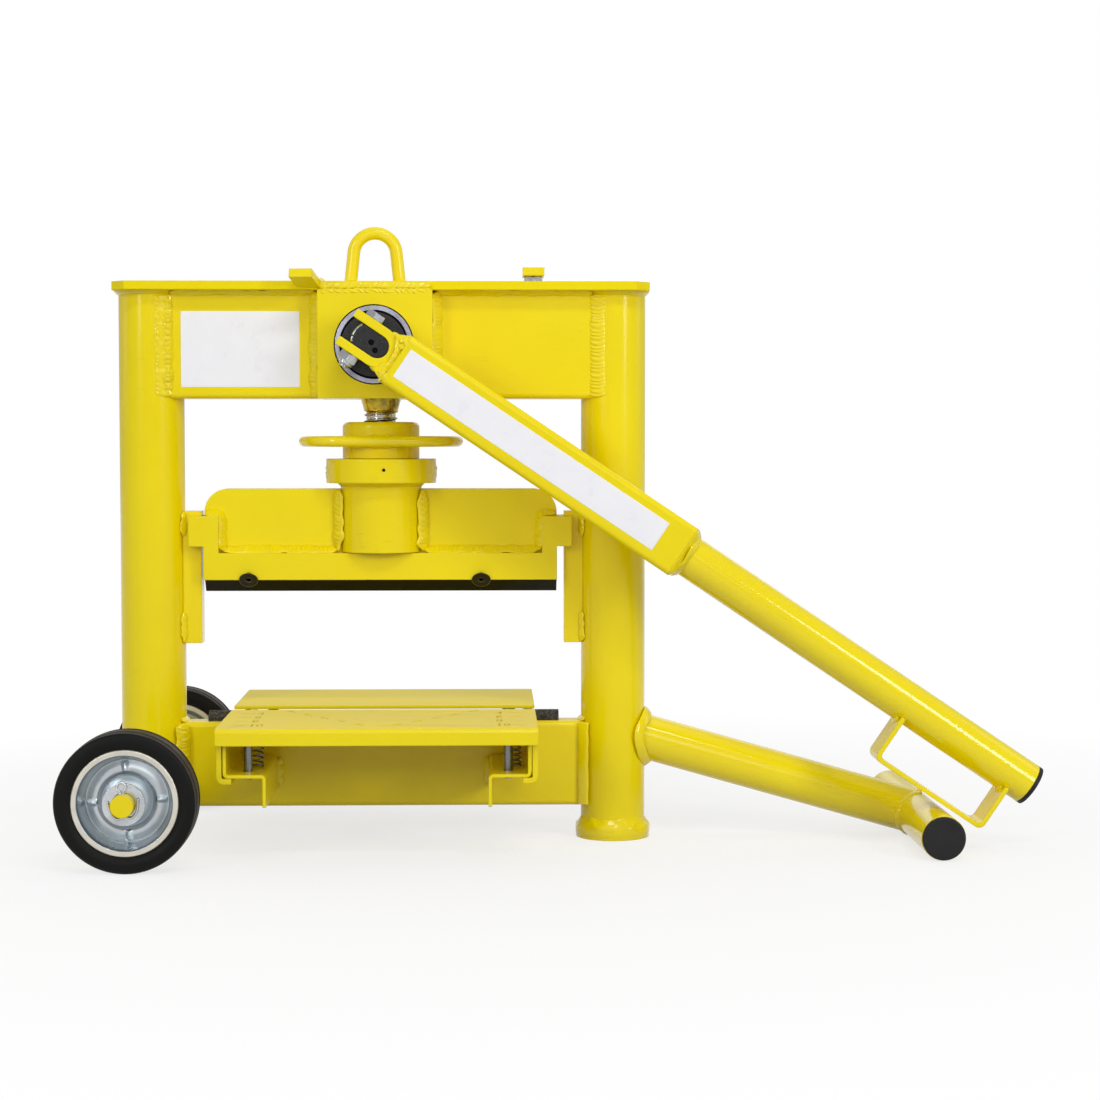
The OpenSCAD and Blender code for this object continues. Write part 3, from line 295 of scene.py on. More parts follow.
def powderCoat(name, v):
    # yellow powder coat: orange peel, slow tone, a few rubbed marks and a softened edge
    material, tree, shader, where = startMaterial(name)
    peel = useGroup(tree, orangePeel, Vector=where, Peel_Scale=v["peelScale"])
    marks = useGroup(tree, handlingMarks, Vector=where, Spread=v["marks"])
    edge = useGroup(tree, softEdge, Radius=v["edge"])
    tone, mark = peel.outputs["Tone"], marks.outputs["Mark"]
    colour = mixColour(tree, ramp(tree, tone, 0.35, 0.65), linear(v["deep"]), linear(v["colour"]))
    colour = mixColour(tree, mark, colour, linear(v["dirt"]))
    colour = mixColour(tree, marks.outputs["Scratch"], colour, linear(v["scratch"]))
    rough = ramp(tree, tone, 0.3, 0.7, v["rough"] - 0.04, v["rough"] + 0.05)
    rough = mathNode(tree, "ADD", rough, mathNode(tree, "MULTIPLY", mark, 0.25), True)
    finishSurface(tree, shader, v, colour, rough, peel.outputs["Height"], 0.0004, edge)
    return material


zincValues = {
    "light": (214, 217, 221), "dark": (172, 178, 185), "second": (208, 202, 178), "tint": 0.35,
    "bare": (240, 240, 240), "edgeWearAndSheen": 0.5, "metallic": 1.0, "rough": 0.24, "roughSpan": 0.08,
    "bump": 0.1, "edge": 0.0006, "stretch": (500.0, 500.0, 500.0), "level": 0.5,
}
metalKinds = {
    "zincPlate": {},
    # the rim's blue-grey colour for its hollows is painted shade
    "rimZinc": {"light": (204, 210, 213), "dark": (184, 192, 197), "second": (178, 170, 146),
                "hollow": (118, 134, 144), "tint": 0.7, "rough": 0.34, "bump": 0.01,
                "stretch": (24.0, 24.0, 24.0)},
    "lipZinc": {"light": (220, 216, 206), "dark": (200, 196, 184), "second": (224, 214, 186),
                "tint": 0.5, "rough": 0.42, "bump": 0.05, "stretch": (160.0, 60.0, 160.0)},
    "boltZinc": {"light": (204, 207, 212), "dark": (150, 155, 163), "second": (228, 222, 200),
                 "tint": 0.25, "rough": 0.16, "bump": 0.06},
    # table rods and springs: zinc painted darker, as painted shade for the shade they stand in
    # under the tables
    "rodSteelInShade": {"light": (134, 136, 138), "dark": (98, 100, 102), "second": (132, 124, 102),
                 "rough": 0.3},
    "bushSteel": {"light": (198, 198, 216), "dark": (148, 148, 164), "second": (108, 106, 120),
                  "rough": 0.3, "stretch": (900.0, 60.0, 900.0)},
    "threadSteel": {"light": (226, 224, 220), "dark": (150, 147, 136), "second": (122, 108, 62),
                    "tint": 0.6, "rough": 0.14, "stretch": (160.0, 160.0, 900.0)},
    # the gold cone: grease, and a painted reflection of the yellow paint round it
    "goldGreaseAndReflection": {"light": (226, 190, 40), "dark": (98, 88, 44), "second": (150, 140, 86),
                   "tint": 0.5, "rough": 0.14, "bump": 0.9, "stretch": (130.0, 130.0, 240.0)},
    "blackOxide": {"light": (24, 23, 21), "dark": (15, 14, 12), "second": (40, 33, 22),
                   "bare": (84, 82, 76), "tint": 0.3, "edgeWearAndSheen": 0.3, "metallic": 0.0, "rough": 0.4,
                   "bump": 0.3, "stretch": (60.0, 500.0, 500.0), "level": 0.2},
    "stubSteel": {"light": (28, 28, 31), "dark": (15, 15, 17), "second": (44, 42, 44),
                  "bare": (70, 70, 74), "tint": 0.35, "edgeWearAndSheen": 0.25, "metallic": 0.0, "rough": 0.24,
                  "bump": 0.25, "edge": 0.0016, "stretch": (700.0, 90.0, 700.0), "level": 0.45},
    # blade screws: their pale head rims are worn edges with a painted highlight
    "screwBlack": {"light": (30, 28, 24), "dark": (17, 16, 14), "second": (52, 46, 34),
                   "bare": (142, 134, 104), "tint": 0.4, "edgeWearAndSheen": 0.9, "metallic": 0.0,
                   "rough": 0.35, "bump": 0.3, "edge": 0.0009, "level": 0.3},
    "castBlack": {"light": (48, 47, 45), "dark": (24, 23, 22), "second": (128, 120, 100),
                  "bare": (96, 94, 90), "tint": 0.75, "edgeWearAndSheen": 0.2, "metallic": 0.0, "rough": 0.6,
                  "bump": 0.8, "stretch": (420.0, 420.0, 420.0), "level": 0.25},
    # near-black: for the dark lines round the bush, and as painted shade in the stub's centre holes
    "darkGap": {"light": (14, 13, 12), "dark": (8, 8, 8), "second": (24, 21, 17), "edgeWearAndSheen": 0.0,
                "metallic": 0.0, "rough": 0.6, "level": 0.05},
}


def metal(name, v):
    # bare or plated metal: stretched grain and clouds of tone, brighter along its edges: worn metal
    # and a painted edge highlight
    material, tree, shader, where = startMaterial(name)
    grain = useGroup(tree, steelGrain, Vector=where, Stretch=v["stretch"])
    edge = useGroup(tree, softEdge, Radius=v["edge"])
    fine, wornAndSheenEdge = grain.outputs["Grain"], edge.outputs["Edge"]
    colour = mixColour(tree, ramp(tree, grain.outputs["Cloud"], 0.3, 0.7), linear(v["dark"]),
                       linear(v["light"]))
    colour = mixColour(tree, ramp(tree, fine, 0.45, 0.75, 0.0, v["tint"]), colour,
                       linear(v["second"]))
    # edges mixed toward the bare colour: wear, and a painted highlight
    colour = mixColour(tree, mathNode(tree, "MULTIPLY", wornAndSheenEdge, v["edgeWearAndSheen"]), colour, linear(v["bare"]))
    if "hollow" in v:
        # painted shade: a darker, bluer skin in the hollows, by the piece's own attribute
        hollow = addNode(tree, "Attribute", {"attribute_name": "hollow"})
        colour = mixColour(tree, hollow.outputs["Fac"], colour, linear(v["hollow"]))
    rough = ramp(tree, fine, 0.3, 0.7, v["rough"] - v["roughSpan"], v["rough"] + v["roughSpan"])
    wornThrough = v["edgeWearAndSheen"] and v["metallic"] < 1
    shine = ramp(tree, wornAndSheenEdge, 0.0, 1.0, v["metallic"], 1.0) if wornThrough else v["metallic"]
    setInputs(tree, shader, {"Metallic": shine})
    finishSurface(tree, shader, v, colour, rough, fine, 0.0003, edge)
    return material


rubberValues = {
    "light": (13, 12, 11), "dark": (8, 8, 7), "edgeHighlight": (84, 73, 62), "rough": 0.5, "bump": 0.2,
    "edge": 0.0006, "stretch": (260.0, 90.0, 260.0), "level": 0.16,
}
dullKinds = {
    "tyreRubber": {},
    # the tread's paler grey: worn rubber with a painted sheen
    "treadRubber": {"light": (82, 76, 71), "dark": (56, 52, 48), "edgeHighlight": (124, 112, 100),
                    "rough": 0.6, "bump": 0.3, "level": 0.2},
    "blackPlastic": {"light": (38, 38, 39), "dark": (31, 31, 32), "edgeHighlight": (58, 58, 58),
                     "bump": 0.35, "edge": 0.001, "stretch": (700.0, 700.0, 700.0), "level": 0.2},
    "panelWhite": {"light": (247, 247, 251), "dark": (244, 244, 249), "edgeHighlight": (242, 242, 242),
                   "rough": 0.3, "bump": 0.005, "edge": 0.0003, "stretch": (300.0, 300.0, 300.0),
                   "level": 0.35},
}


def dull(name, v):
    # rubber, moulded plastic or film: fine grain, slow clouds of tone and paler edges, a painted
    # highlight
    material, tree, shader, where = startMaterial(name)
    grain = useGroup(tree, steelGrain, Vector=where, Stretch=v["stretch"])
    edge = useGroup(tree, softEdge, Radius=v["edge"])
    cloud = grain.outputs["Cloud"]
    colour = mixColour(tree, ramp(tree, cloud, 0.35, 0.7), linear(v["dark"]), linear(v["light"]))
    # painted highlight on the edges: mixed toward the edge colour
    colour = mixColour(tree, mathNode(tree, "MULTIPLY", edge.outputs["Edge"], 0.35), colour,
                       linear(v["edgeHighlight"]))
    rough = ramp(tree, cloud, 0.3, 0.7, v["rough"] - 0.06, v["rough"] + 0.08)
    finishSurface(tree, shader, v, colour, rough, grain.outputs["Grain"], 0.0003, edge)
    return material


finishes = {}
for make, base, kinds in ((powderCoat, paintValues, paintKinds), (metal, zincValues, metalKinds),
                          (dull, rubberValues, dullKinds)):
    finishes.update({name: make(name, {**base, **own}) for name, own in kinds.items()})

slotFinish = {
    "yellow_paint": "yellowPaint", "black_steel": "blackOxide", "bare_steel": "zincPlate",
    "zinc_plate": "zincPlate", "black_plastic": "blackPlastic", "tyre_rubber": "tyreRubber",
}
ownFinish = {
    "axle": "axlePaint", "collar": "collarPaint", "top_plate": "tablePaint",
    "stand_leg": "tubePaint", "stand_crossbar": "tubePaint", "lever_tube": "tubePaint",
    "lifting_eye": "tubePaint", "handwheel_grip": "tubePaint", "shaft_bushes": "bushSteel",
    "eccentric_shaft": "stubSteel", "lower_blade": "castBlack", "blade_screws": "screwBlack",
    "front_table_rods": "rodSteelInShade", "back_table_rods": "rodSteelInShade",
}
for part in frame["record"]["subparts"]:
    mesh = frame["nodes"][part["node"]].data
    mesh.materials.clear()
    mesh.materials.append(finishes[ownFinish.get(part["node"], slotFinish[part["material_slot"]])])
print("materials on", len(frame["nodes"]), "nodes")


def gridFaces(rows, cols, wrapRows, wrapCols):
    # four-sided faces between neighbouring points of a rows x cols grid
    i = np.arange(rows if wrapRows else rows - 1)[:, None]
    j = np.arange(cols if wrapCols else cols - 1)[None, :]
    here, below = i * cols, (i + 1) % rows * cols
    after = (j + 1) % cols
    return np.stack([here + j, here + after, below + after, below + j], -1).reshape(-1, 4)


def shell(points, wrapRows=False, wrapCols=True):
    # a grid of points as a surface; a fan to its middle closes each open end of a wrapped grid
    rows, cols = points.shape[:2]
    verts = points.reshape(-1, 3)
    faces = gridFaces(rows, cols, wrapRows, wrapCols).tolist()
    if wrapCols and not wrapRows:
        verts = np.vstack([verts, points[0].mean(0), points[-1].mean(0)])
        j = np.arange(cols)
        after, last = (j + 1) % cols, (rows - 1) * cols
        low = np.stack([np.full(cols, rows * cols), after, j], 1)
        high = np.stack([np.full(cols, rows * cols + 1), last + j, last + after], 1)
        faces += low.tolist() + high.tolist()
    return verts, faces


def faceOutwards(mesh, weld=None):
    # turns all faces outwards, after joining points closer than weld
    work = bmesh.new()
    work.from_mesh(mesh)
    if weld:
        bmesh.ops.remove_doubles(work, verts=work.verts, dist=weld)
    bmesh.ops.recalc_face_normals(work, faces=work.faces)
    work.to_mesh(mesh)
    work.free()


def shadeSmooth(mesh, sharp):
    mesh.polygons.foreach_set("use_smooth", np.ones(len(mesh.polygons), bool))
    if sharp:
        mesh.set_sharp_from_angle(angle=math.radians(sharp))


def faceValues(mesh, what):
    # every face's center or normal, one row each
    values = np.empty(len(mesh.polygons) * 3)
    mesh.polygons.foreach_get(what, values)
    return values.reshape(-1, 3)


def useFinish(mesh, index):
    mesh.polygons.foreach_set("material_index", np.asarray(index).astype(np.int32))


def addPiece(name, shells, body, finish, replaced=(), sharp=None, second=None):
    # one mesh object from several shells in press millimetres
    verts, faces, start = [], [], 0
    for v, f in shells:
        verts.append(v)
        faces += [[k + start for k in face] for face in f]
        start += len(v)
    mesh = bpy.data.meshes.new(name)
    mesh.from_pydata(press(np.vstack(verts)).tolist(), [], faces)
    faceOutwards(mesh)
    shadeSmooth(mesh, sharp)
    for kind in (finish, second):
        if kind:
            mesh.materials.append(finishes[kind])
    piece = newObject(name, mesh)
    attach(piece, body)
    if replaced:
        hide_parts(*replaced)
    return piece


def unit(a):
    return a / np.linalg.norm(a, axis=-1, keepdims=True)


def around(count):
    # angles of a whole turn
    return np.linspace(0, 2 * np.pi, count, endpoint=False)


def frames(path, outward, closed):
    # side and outward direction at each point of a path
    step = np.roll(path, -1, 0) - np.roll(path, 1, 0) if closed else np.gradient(path, axis=0)
    along = unit(step)
    side = unit(np.cross(along, outward))
    return side, np.cross(side, along)


def tube(path, radius, sides, outward=(0.0, 0.0, 1.0)):
    # a circle carried along a path
    side, out = frames(path, np.broadcast_to(outward, path.shape), False)
    phi = around(sides)[None, :, None]
    ring = side[:, None] * np.cos(phi) + out[:, None] * np.sin(phi)
    return shell(path[:, None] + radius * ring)


def turned(r, z, a, x=0.0):
    # points of a round body about an upright axis
    return np.stack([x + r * np.cos(a), r * np.sin(a), z + 0 * a], -1)


def line(a, b, count=24):
    return np.linspace(np.array(a, float), np.array(b, float), count)


def upright(place, low, high):
    return line((*place, low), (*place, high))


def smoothPath(points, count):
    # a smooth curve through a few points, by cubic steps between them
    p = np.asarray(points, float)
    ends = np.vstack([2 * p[0] - p[1], p, 2 * p[-1] - p[-2]])
    u = np.linspace(0, len(p) - 1 - 1e-9, count)
    k = u.astype(int)
    t = (u - k)[:, None]
    a, b, c, d = ends[k], ends[k + 1], ends[k + 2], ends[k + 3]
    return 0.5 * (2 * b + (c - a) * t + (2 * a - 5 * b + 4 * c - d) * t ** 2
                  + (3 * b - a - 3 * c + d) * t ** 3)


beadShape = {"step": 0.7, "fewest": 10, "sides": 14, "sink": 0.5, "flat": 0.8, "waves": 6,
             "waveLength": 60, "cornerOut": 0.36, "cornerWide": 1.35}


def bead(path, outward, seed, width, height, pitch=4.2, closed=False, wander=0.1, scallop=0.3,
         bow=0.7, ends=0.6, skew=0.0):
    # weld bead: a flattened half ellipse carried along the path; its height follows |sin| of the
    # distance along plus a share of the distance across and its square, which slants and bows the
    # ripples, and slow sines swell it and push it aside
    v = beadShape
    rng = np.random.default_rng(seed)
    path = np.asarray(path, float)
    both = np.hstack([path, np.broadcast_to(np.asarray(outward, float), path.shape)])
    both = np.vstack([both, both[:1]]) if closed else both
    s = np.r_[0, np.cumsum(np.linalg.norm(np.diff(both[:, :3], axis=0), axis=1))]
    length = s[-1]
    t = np.linspace(0, length, max(int(length / v["step"]), v["fewest"]), endpoint=not closed)
    both = np.stack([np.interp(t, s, column) for column in both.T], 1)
    side, out = frames(both[:, :3], both[:, 3:], closed)
    turns = max(round(length / pitch), 1)
    waves = np.arange(1, v["waves"] + 1)
    waves = waves if closed else waves * 0.7 * max(length / v["waveLength"], 1)
    phases = rng.uniform(0, 2 * np.pi, (3, v["waves"]))
    slow = [np.sin(2 * np.pi * waves * t[:, None] / length + q).sum(1) / 2.4 for q in phases]
    fromEnd = np.minimum(t, length - t) / (ends * width)
    taper = np.ones_like(t) if closed else np.sqrt(np.clip(fromEnd, 0.02, 1))
    phi = around(v["sides"])
    across, rise = np.cos(phi)[None], np.sin(phi)[None]
    phase = turns * t[:, None] / length + bow * across ** 2 + skew * across
    phase = phase + (0 if closed else 0.3 * slow[2][:, None])
    ripple = 1 - scallop * (1 - np.abs(np.sin(np.pi * phase)))
    wide = width / 2 * (1 + wander * slow[0]) * taper
    tall = height * (1 + wander * slow[1]) * taper
    lift = np.where(rise > 0, np.abs(rise) ** v["flat"] * ripple, rise * v["sink"]) * tall[:, None]
    shift = (across + 0.5 * wander * slow[2][:, None]) * wide[:, None]
    points = both[:, None, :3] + side[:, None] * shift[..., None] + out[:, None] * lift[..., None]
    return shell(points, wrapRows=closed)


def fillet(path, first, second, seed, leg, rise=0.2, **look):
    # a bead in the corner between two faces with these normals; it spans about one leg along each
    path = np.asarray(path, float)
    both = np.broadcast_to(np.asarray(first, float) + np.asarray(second, float), path.shape)
    return bead(path + beadShape["cornerOut"] * leg * both, unit(both), seed,
                beadShape["cornerWide"] * leg, rise * leg, **look)


def ringPath(centre, radius, count=72, start=0.0, end=360.0, closed=True):
    # a level circle, or part of one; returns its points and their radial directions
    a = np.radians(np.linspace(start, end, count, endpoint=not closed))
    radial = np.stack([np.cos(a), np.sin(a), 0 * a], 1)
    return np.array(centre, float) + radius * radial, radial


frameSizes = {"postX": 216.5, "postR": 30.15, "beamLow": 414.0, "beamTop": 514.0,
              "plateTop": 522.0, "beamY": 25.0, "beamWeldX": 200.6, "plateWeldX": 196.0,
              "lowBeamY": 15.0, "lowBeamLow": 31.0, "lowBeamTop": 111.0,
              "housingX": (-58.5, 47.5), "guideY": 9.7, "guideWelds": ((186, 214), (286, 308)),
              "eyeX": (-29.9, 15.9), "eyeR": 6.0}
footShape = {"profile": ((29.0, 20.5), (30.6, 19.0), (32.6, 15.6), (34.6, 11.8), (35.2, 7.6),
                         (34.9, 3.6), (33.6, 0.7), (29.0, 0.3)),
             "lump": 0.9, "lumpAt": (13, 4.5), "rim": 1.6, "rimAt": (17, 4.0), "seed": 17}
beamWelds = {
    # a broad weld in layers, scaled on the left and herringboned on the right: how far towards the
    # middle, depth, lean towards the middle and outwards, gaps below and above, look
    -1: ((0.0, 25.4, (0.29, 0.957), (1, 2),
          {"width": 17, "height": 2.3, "pitch": 9, "wander": 0.05, "scallop": 0.1, "bow": 0.3,
           "ends": 0.15}),
         (2.2, 25.0, (0.29, 0.957), (3, 4),
          {"width": 10.5, "height": 4.2, "pitch": 5.6, "wander": 0.08, "scallop": 0.8,
           "bow": 1.5}),
         (-7.0, 28.0, (0.24, 0.97), (2, 3),
          {"width": 5.5, "height": 2.0, "pitch": 5.0, "scallop": 0.65, "bow": 1.0})),
    1: ((0.0, 25.4, (0.29, 0.957), (1, 2),
         {"width": 16, "height": 3.4, "pitch": 3.8, "wander": 0.05, "scallop": 0.5, "bow": 2.0,
          "ends": 0.15}),),
}
ropeWeld = {"y": 44.2, "climb": 0.5, "strands": ((3.4, 0.6, 0.8), (-0.9, 0.25, -0.8)),
            "look": {"width": 6.6, "height": 2.9, "pitch": 6.6, "wander": 0.08, "scallop": 0.8,
                     "bow": 0.2}}
stopWelds = {"ends": (((-55.9, -41.4), (-53.9, -30.0), 1), ((-76.7, -38.0), (-74.9, -28.0), -1)),
             "normal": np.array([0.985, -0.174, 0.0])}
frameLooks = {
    "lowLeft": {"leg": 10.5, "pitch": 4.2, "scallop": 0.6, "bow": 1.8, "ends": 0.25, "rise": 0.32},
    "lowRight": {"leg": 8.5, "pitch": 16, "scallop": 0.1, "wander": 0.04, "ends": 0.05},
    "guide": {"leg": 4.8, "pitch": 5, "wander": 0.2, "scallop": 0.45},
    "plate": {"leg": 5.5, "pitch": 8, "wander": 0.28, "scallop": 0.25},
    "housing": {"leg": 11, "pitch": 4.4, "wander": 0.25, "scallop": 0.75, "bow": 1.3, "ends": 0.2},
    "lowTop": {"leg": 4.5, "pitch": 5},
    "postTop": {"leg": 4.5, "pitch": 7, "wander": 0.15, "closed": True},
    "eye": {"leg": 3.6, "pitch": 4, "closed": True},
    "stop": {"leg": 3.6, "wander": 0.1, "ends": 0.3},
}


def onPost(side, face, y):
    # where a face at this depth meets the post on its inner side, and the post's normal there
    radius = frameSizes["postR"]
    reach = math.sqrt(radius ** 2 - y ** 2)
    place = (side * (frameSizes["postX"] - reach), face * y)
    return place, np.array([-side * reach / radius, face * y / radius, 0])


def footWeld():
    # the foot's rounded edge and its heavy weld: a smooth profile turned about the post, swollen by
    # slow sines
    v = footShape
    rng = np.random.default_rng(v["seed"])
    u = smoothPath(v["profile"], 40)
    a = around(160)[None]
    waves = rng.integers(3, 15, 7)
    phases = rng.uniform(0, 2 * np.pi, (2, 7))
    swell, drift = [np.sin(waves[:, None] * a + q[:, None]).sum(0)[None] / 3 for q in phases]
    nearLump, nearRim = [np.exp(-((u[:, 1:] - at) / spread) ** 2)
                         for at, spread in (v["lumpAt"], v["rimAt"])]
    r = u[:, :1] + v["lump"] * swell * nearLump
    z = u[:, 1:] + v["rim"] * drift * nearRim
    return shell(turned(r, z, a, frameSizes["postX"]), wrapRows=True)


def frameWelds():
    v, looks = frameSizes, frameLooks
    low, top = v["beamLow"], v["beamTop"]
    rows = []
    for side in (-1, 1):
        for face in (-1, 1):
            seed = 10 + 3 * side + face
            faceOut = np.array([0, face, 0.0])
            # upper beam to post
            for i, (aside, depth, lean, gaps, look) in enumerate(beamWelds[side]):
                path = upright((side * (v["beamWeldX"] - aside), face * depth), low + gaps[0],
                               top - gaps[1])
                rows.append(bead(path, (-side * lean[0], face * lean[1], 0), seed + i, **look))
            # lower beam to post: fish scales on the left, a smooth strip on the right
            place, postOut = onPost(side, face, v["lowBeamY"])
            path = upright(place, v["lowBeamLow"] + 1, v["lowBeamTop"] - 0.5)
            rows.append(fillet(path, postOut, faceOut, seed + 20,
                               **looks["lowLeft" if side < 0 else "lowRight"]))
            # guide bar to post: short welds at both ends
            place, postOut = onPost(side, face, v["guideY"])
            for z0, z1 in v["guideWelds"]:
                rows.append(fillet(upright(place, z0, z1), postOut, faceOut, seed + 40 + z0,
                                   **looks["guide"]))
            # beam to plate, and beam to housing
            inner, y = v["housingX"][0 if side < 0 else 1], face * v["beamY"]
            rows.append(fillet(line((side * v["plateWeldX"], y, top), (inner + side * 2, y, top)),
                               faceOut, -up, seed + 60, **looks["plate"]))
            rows.append(fillet(upright((inner, y), low + 1, top - 1), faceOut, (side, 0, 0),
                               seed + 80, **looks["housing"]))
        # lower beam's top to post, post to plate
        start = 150 if side > 0 else -30
        path, radial = ringPath((side * v["postX"], 0, v["lowBeamTop"]), v["postR"], 24, start,
                                start + 60, False)
        rows.append(fillet(path, radial, up, 120 + side, **looks["lowTop"]))
        path, radial = ringPath((side * v["postX"], 0, top), v["postR"])
        rows.append(fillet(path, radial, -up, 130 + side, **looks["postTop"]))
    # the rope-like weld on the housing's ledge: two strands whose ripples slant against each other
    for face in (-1, 1):
        y = face * ropeWeld["y"]
        for rise, lean, skew in ropeWeld["strands"]:
            path = line((v["housingX"][0] + 1, y, top + rise),
                        (v["housingX"][1] - 1, y, top + rise + ropeWeld["climb"]))
            rows.append(bead(path, (0, face * 0.9, lean), 140 + face, skew=skew,
                             **ropeWeld["look"]))
    rows.append(footWeld())
    for x in v["eyeX"]:
        path, radial = ringPath((x, 0, v["plateTop"]), v["eyeR"], 32)
        rows.append(fillet(path, radial, up, 160, **looks["eye"]))
    for i, (start, end, way) in enumerate(stopWelds["ends"]):
        rows.append(fillet(line((*start, v["plateTop"]), (*end, v["plateTop"])),
                           way * stopWelds["normal"], up, 163 + i, **looks["stop"]))
    addPiece("frame_welds", rows, "frame", "weldPaint")


standSizes = {"legTop": 103.0, "legR": 21.0, "drop": 83.0, "reach": 289.0, "barR": 20.0,
              "axleZ": 62.0, "spacerR": 13.5, "ground": 0.2, "bracketX": 98.5,
              "bracketSide": (52, 78), "bracketTop": 77, "bracketSpan": (103, 132),
              "backLift": 1.0}
standLooks = {
    "legPost": {"leg": 7.8, "pitch": 11, "wander": 0.16, "scallop": 0.12, "closed": True},
    "legLump": {"leg": 8.5, "pitch": 7, "wander": 0.2},
    "crossbar": {"width": 7.5, "height": 1.9, "pitch": 7, "wander": 0.18, "scallop": 0.25,
                 "closed": True},
    "spacer": {"leg": 4, "pitch": 5, "closed": True},
    "bracketSide": {"leg": 5.5, "pitch": 5, "wander": 0.2},
    "bracketTop": {"leg": 4.5, "pitch": 5, "wander": 0.2},
}


def standWelds():
    # leg to post: the leg's circle is slid along the leg until it meets the post; leg to crossbar
    # in the same way
    v, post, looks = standSizes, frameSizes, standLooks
    rows = []
    slope = math.atan2(v["drop"], v["reach"])
    along = np.array([math.cos(slope), 0, -math.sin(slope)])
    normal = np.array([math.sin(slope), 0, math.cos(slope)])
    a = around(96)
    cos, sin = np.cos(a), np.sin(a)
    radial = cos[:, None] * normal + sin[:, None] * np.array([0, 1.0, 0])
    top = np.array([post["postX"], 0, v["legTop"]])
    start = top + v["legR"] * radial
    reach = post["postX"] + np.sqrt(post["postR"] ** 2 - start[:, 1] ** 2) - start[:, 0]
    path = start + (reach / along[0])[:, None] * along
    postOut = unit((path - np.array([post["postX"], 0, 0])) * np.array([1.0, 1.0, 0]))
    rows.append(fillet(path, radial, postOut, 171, **looks["legPost"]))
    lump = np.abs(a - np.pi) < 0.5
    rows.append(fillet(path[lump], radial[lump], postOut[lump], 175, **looks["legLump"]))
    high = np.clip(v["legR"] * cos, 0.4 - v["barR"], v["barR"] - 0.4)
    end = math.hypot(v["drop"], v["reach"]) - np.sqrt(v["barR"] ** 2 - high ** 2)
    path = top + (v["legR"] + 0.3) * radial + end[:, None] * along
    verts, faces = bead(path, radial * 0.75 - along * 0.65, 172, **looks["crossbar"])
    verts[:, 2] = np.maximum(verts[:, 2], v["ground"])
    rows.append((verts, faces))
    # spacer tubes to the left post
    x, out = v["spacerR"] * cos, np.stack([cos, 0 * a, sin], 1)
    for face in (-1, 1):
        path = np.stack([x - post["postX"], face * np.sqrt(post["postR"] ** 2 - x ** 2),
                         v["axleZ"] + v["spacerR"] * sin], 1)
        rows.append(fillet(path, out, (0, face, 0), 173 + face, **looks["spacer"]))
    # table brackets to the lower beam
    for side in (-1, 1):
        for face in (-1, 1):
            lift = v["backLift"] if face > 0 else 0.0
            y, seed = face * post["lowBeamY"], side + 3 * face
            path = upright((side * v["bracketX"], y), *(z + lift for z in v["bracketSide"]))
            rows.append(fillet(path, (-side, 0, 0), (0, face, 0), 180 + seed,
                               **looks["bracketSide"]))
            path = line(*((side * x0, y, v["bracketTop"] + lift) for x0 in v["bracketSpan"]))
            rows.append(fillet(path, -up, (0, face, 0), 190 + seed, **looks["bracketTop"]))
    addPiece("stand_welds", rows, "frame", "weldPaint")


leverSizes = {"x": -6.5, "y": -80.0, "z": 463.6, "angle": math.radians(33.9), "boxEnd": 343.0,
              "tubeR": 19.3, "bendS": 6.6, "bendR": 19.4, "bendY": 18.4, "noseS": 14.4,
              "noseY": 17, "noseZ": 17.5, "loopY": 13.6,
              "loopLegs": ((589, -1), (593, 1), (704, -1), (708, 1)),
              # lumps of weld on the nose's corners: start and end along, start and end up, width
              "lumps": ((19, 35, 17, 22, 12), (22, 34, 11, 17, 9), (19, 33, -17, -21, 9)),
              "lumpY": (-19.5, -23.6)}
leverLooks = {
    "bend": {"width": 8, "height": 2.3, "pitch": 8, "wander": 0.25, "scallop": 0.25},
    "nose": {"width": 9, "height": 2.4, "pitch": 8, "wander": 0.25, "scallop": 0.25},
    "lump": {"height": 3.0, "pitch": 5.5, "wander": 0.3, "scallop": 0.5},
    "boxEnd": {"leg": 6.0, "pitch": 9, "wander": 0.25, "scallop": 0.25, "closed": True},
    "loop": {"leg": 3.8, "pitch": 5, "wander": 0.2},
}


def onLever(points):
    # distance along the lever, across it and up from its axis -> press millimetres
    p, v = np.asarray(points, float), leverSizes
    c, s = math.cos(v["angle"]), math.sin(v["angle"])
    return np.stack([v["x"] + p[..., 0] * c + p[..., 2] * s, v["y"] + p[..., 1],
                     v["z"] - p[..., 0] * s + p[..., 2] * c], -1)


def alongLever(directions):
    return onLever(directions) - onLever(np.zeros(3))


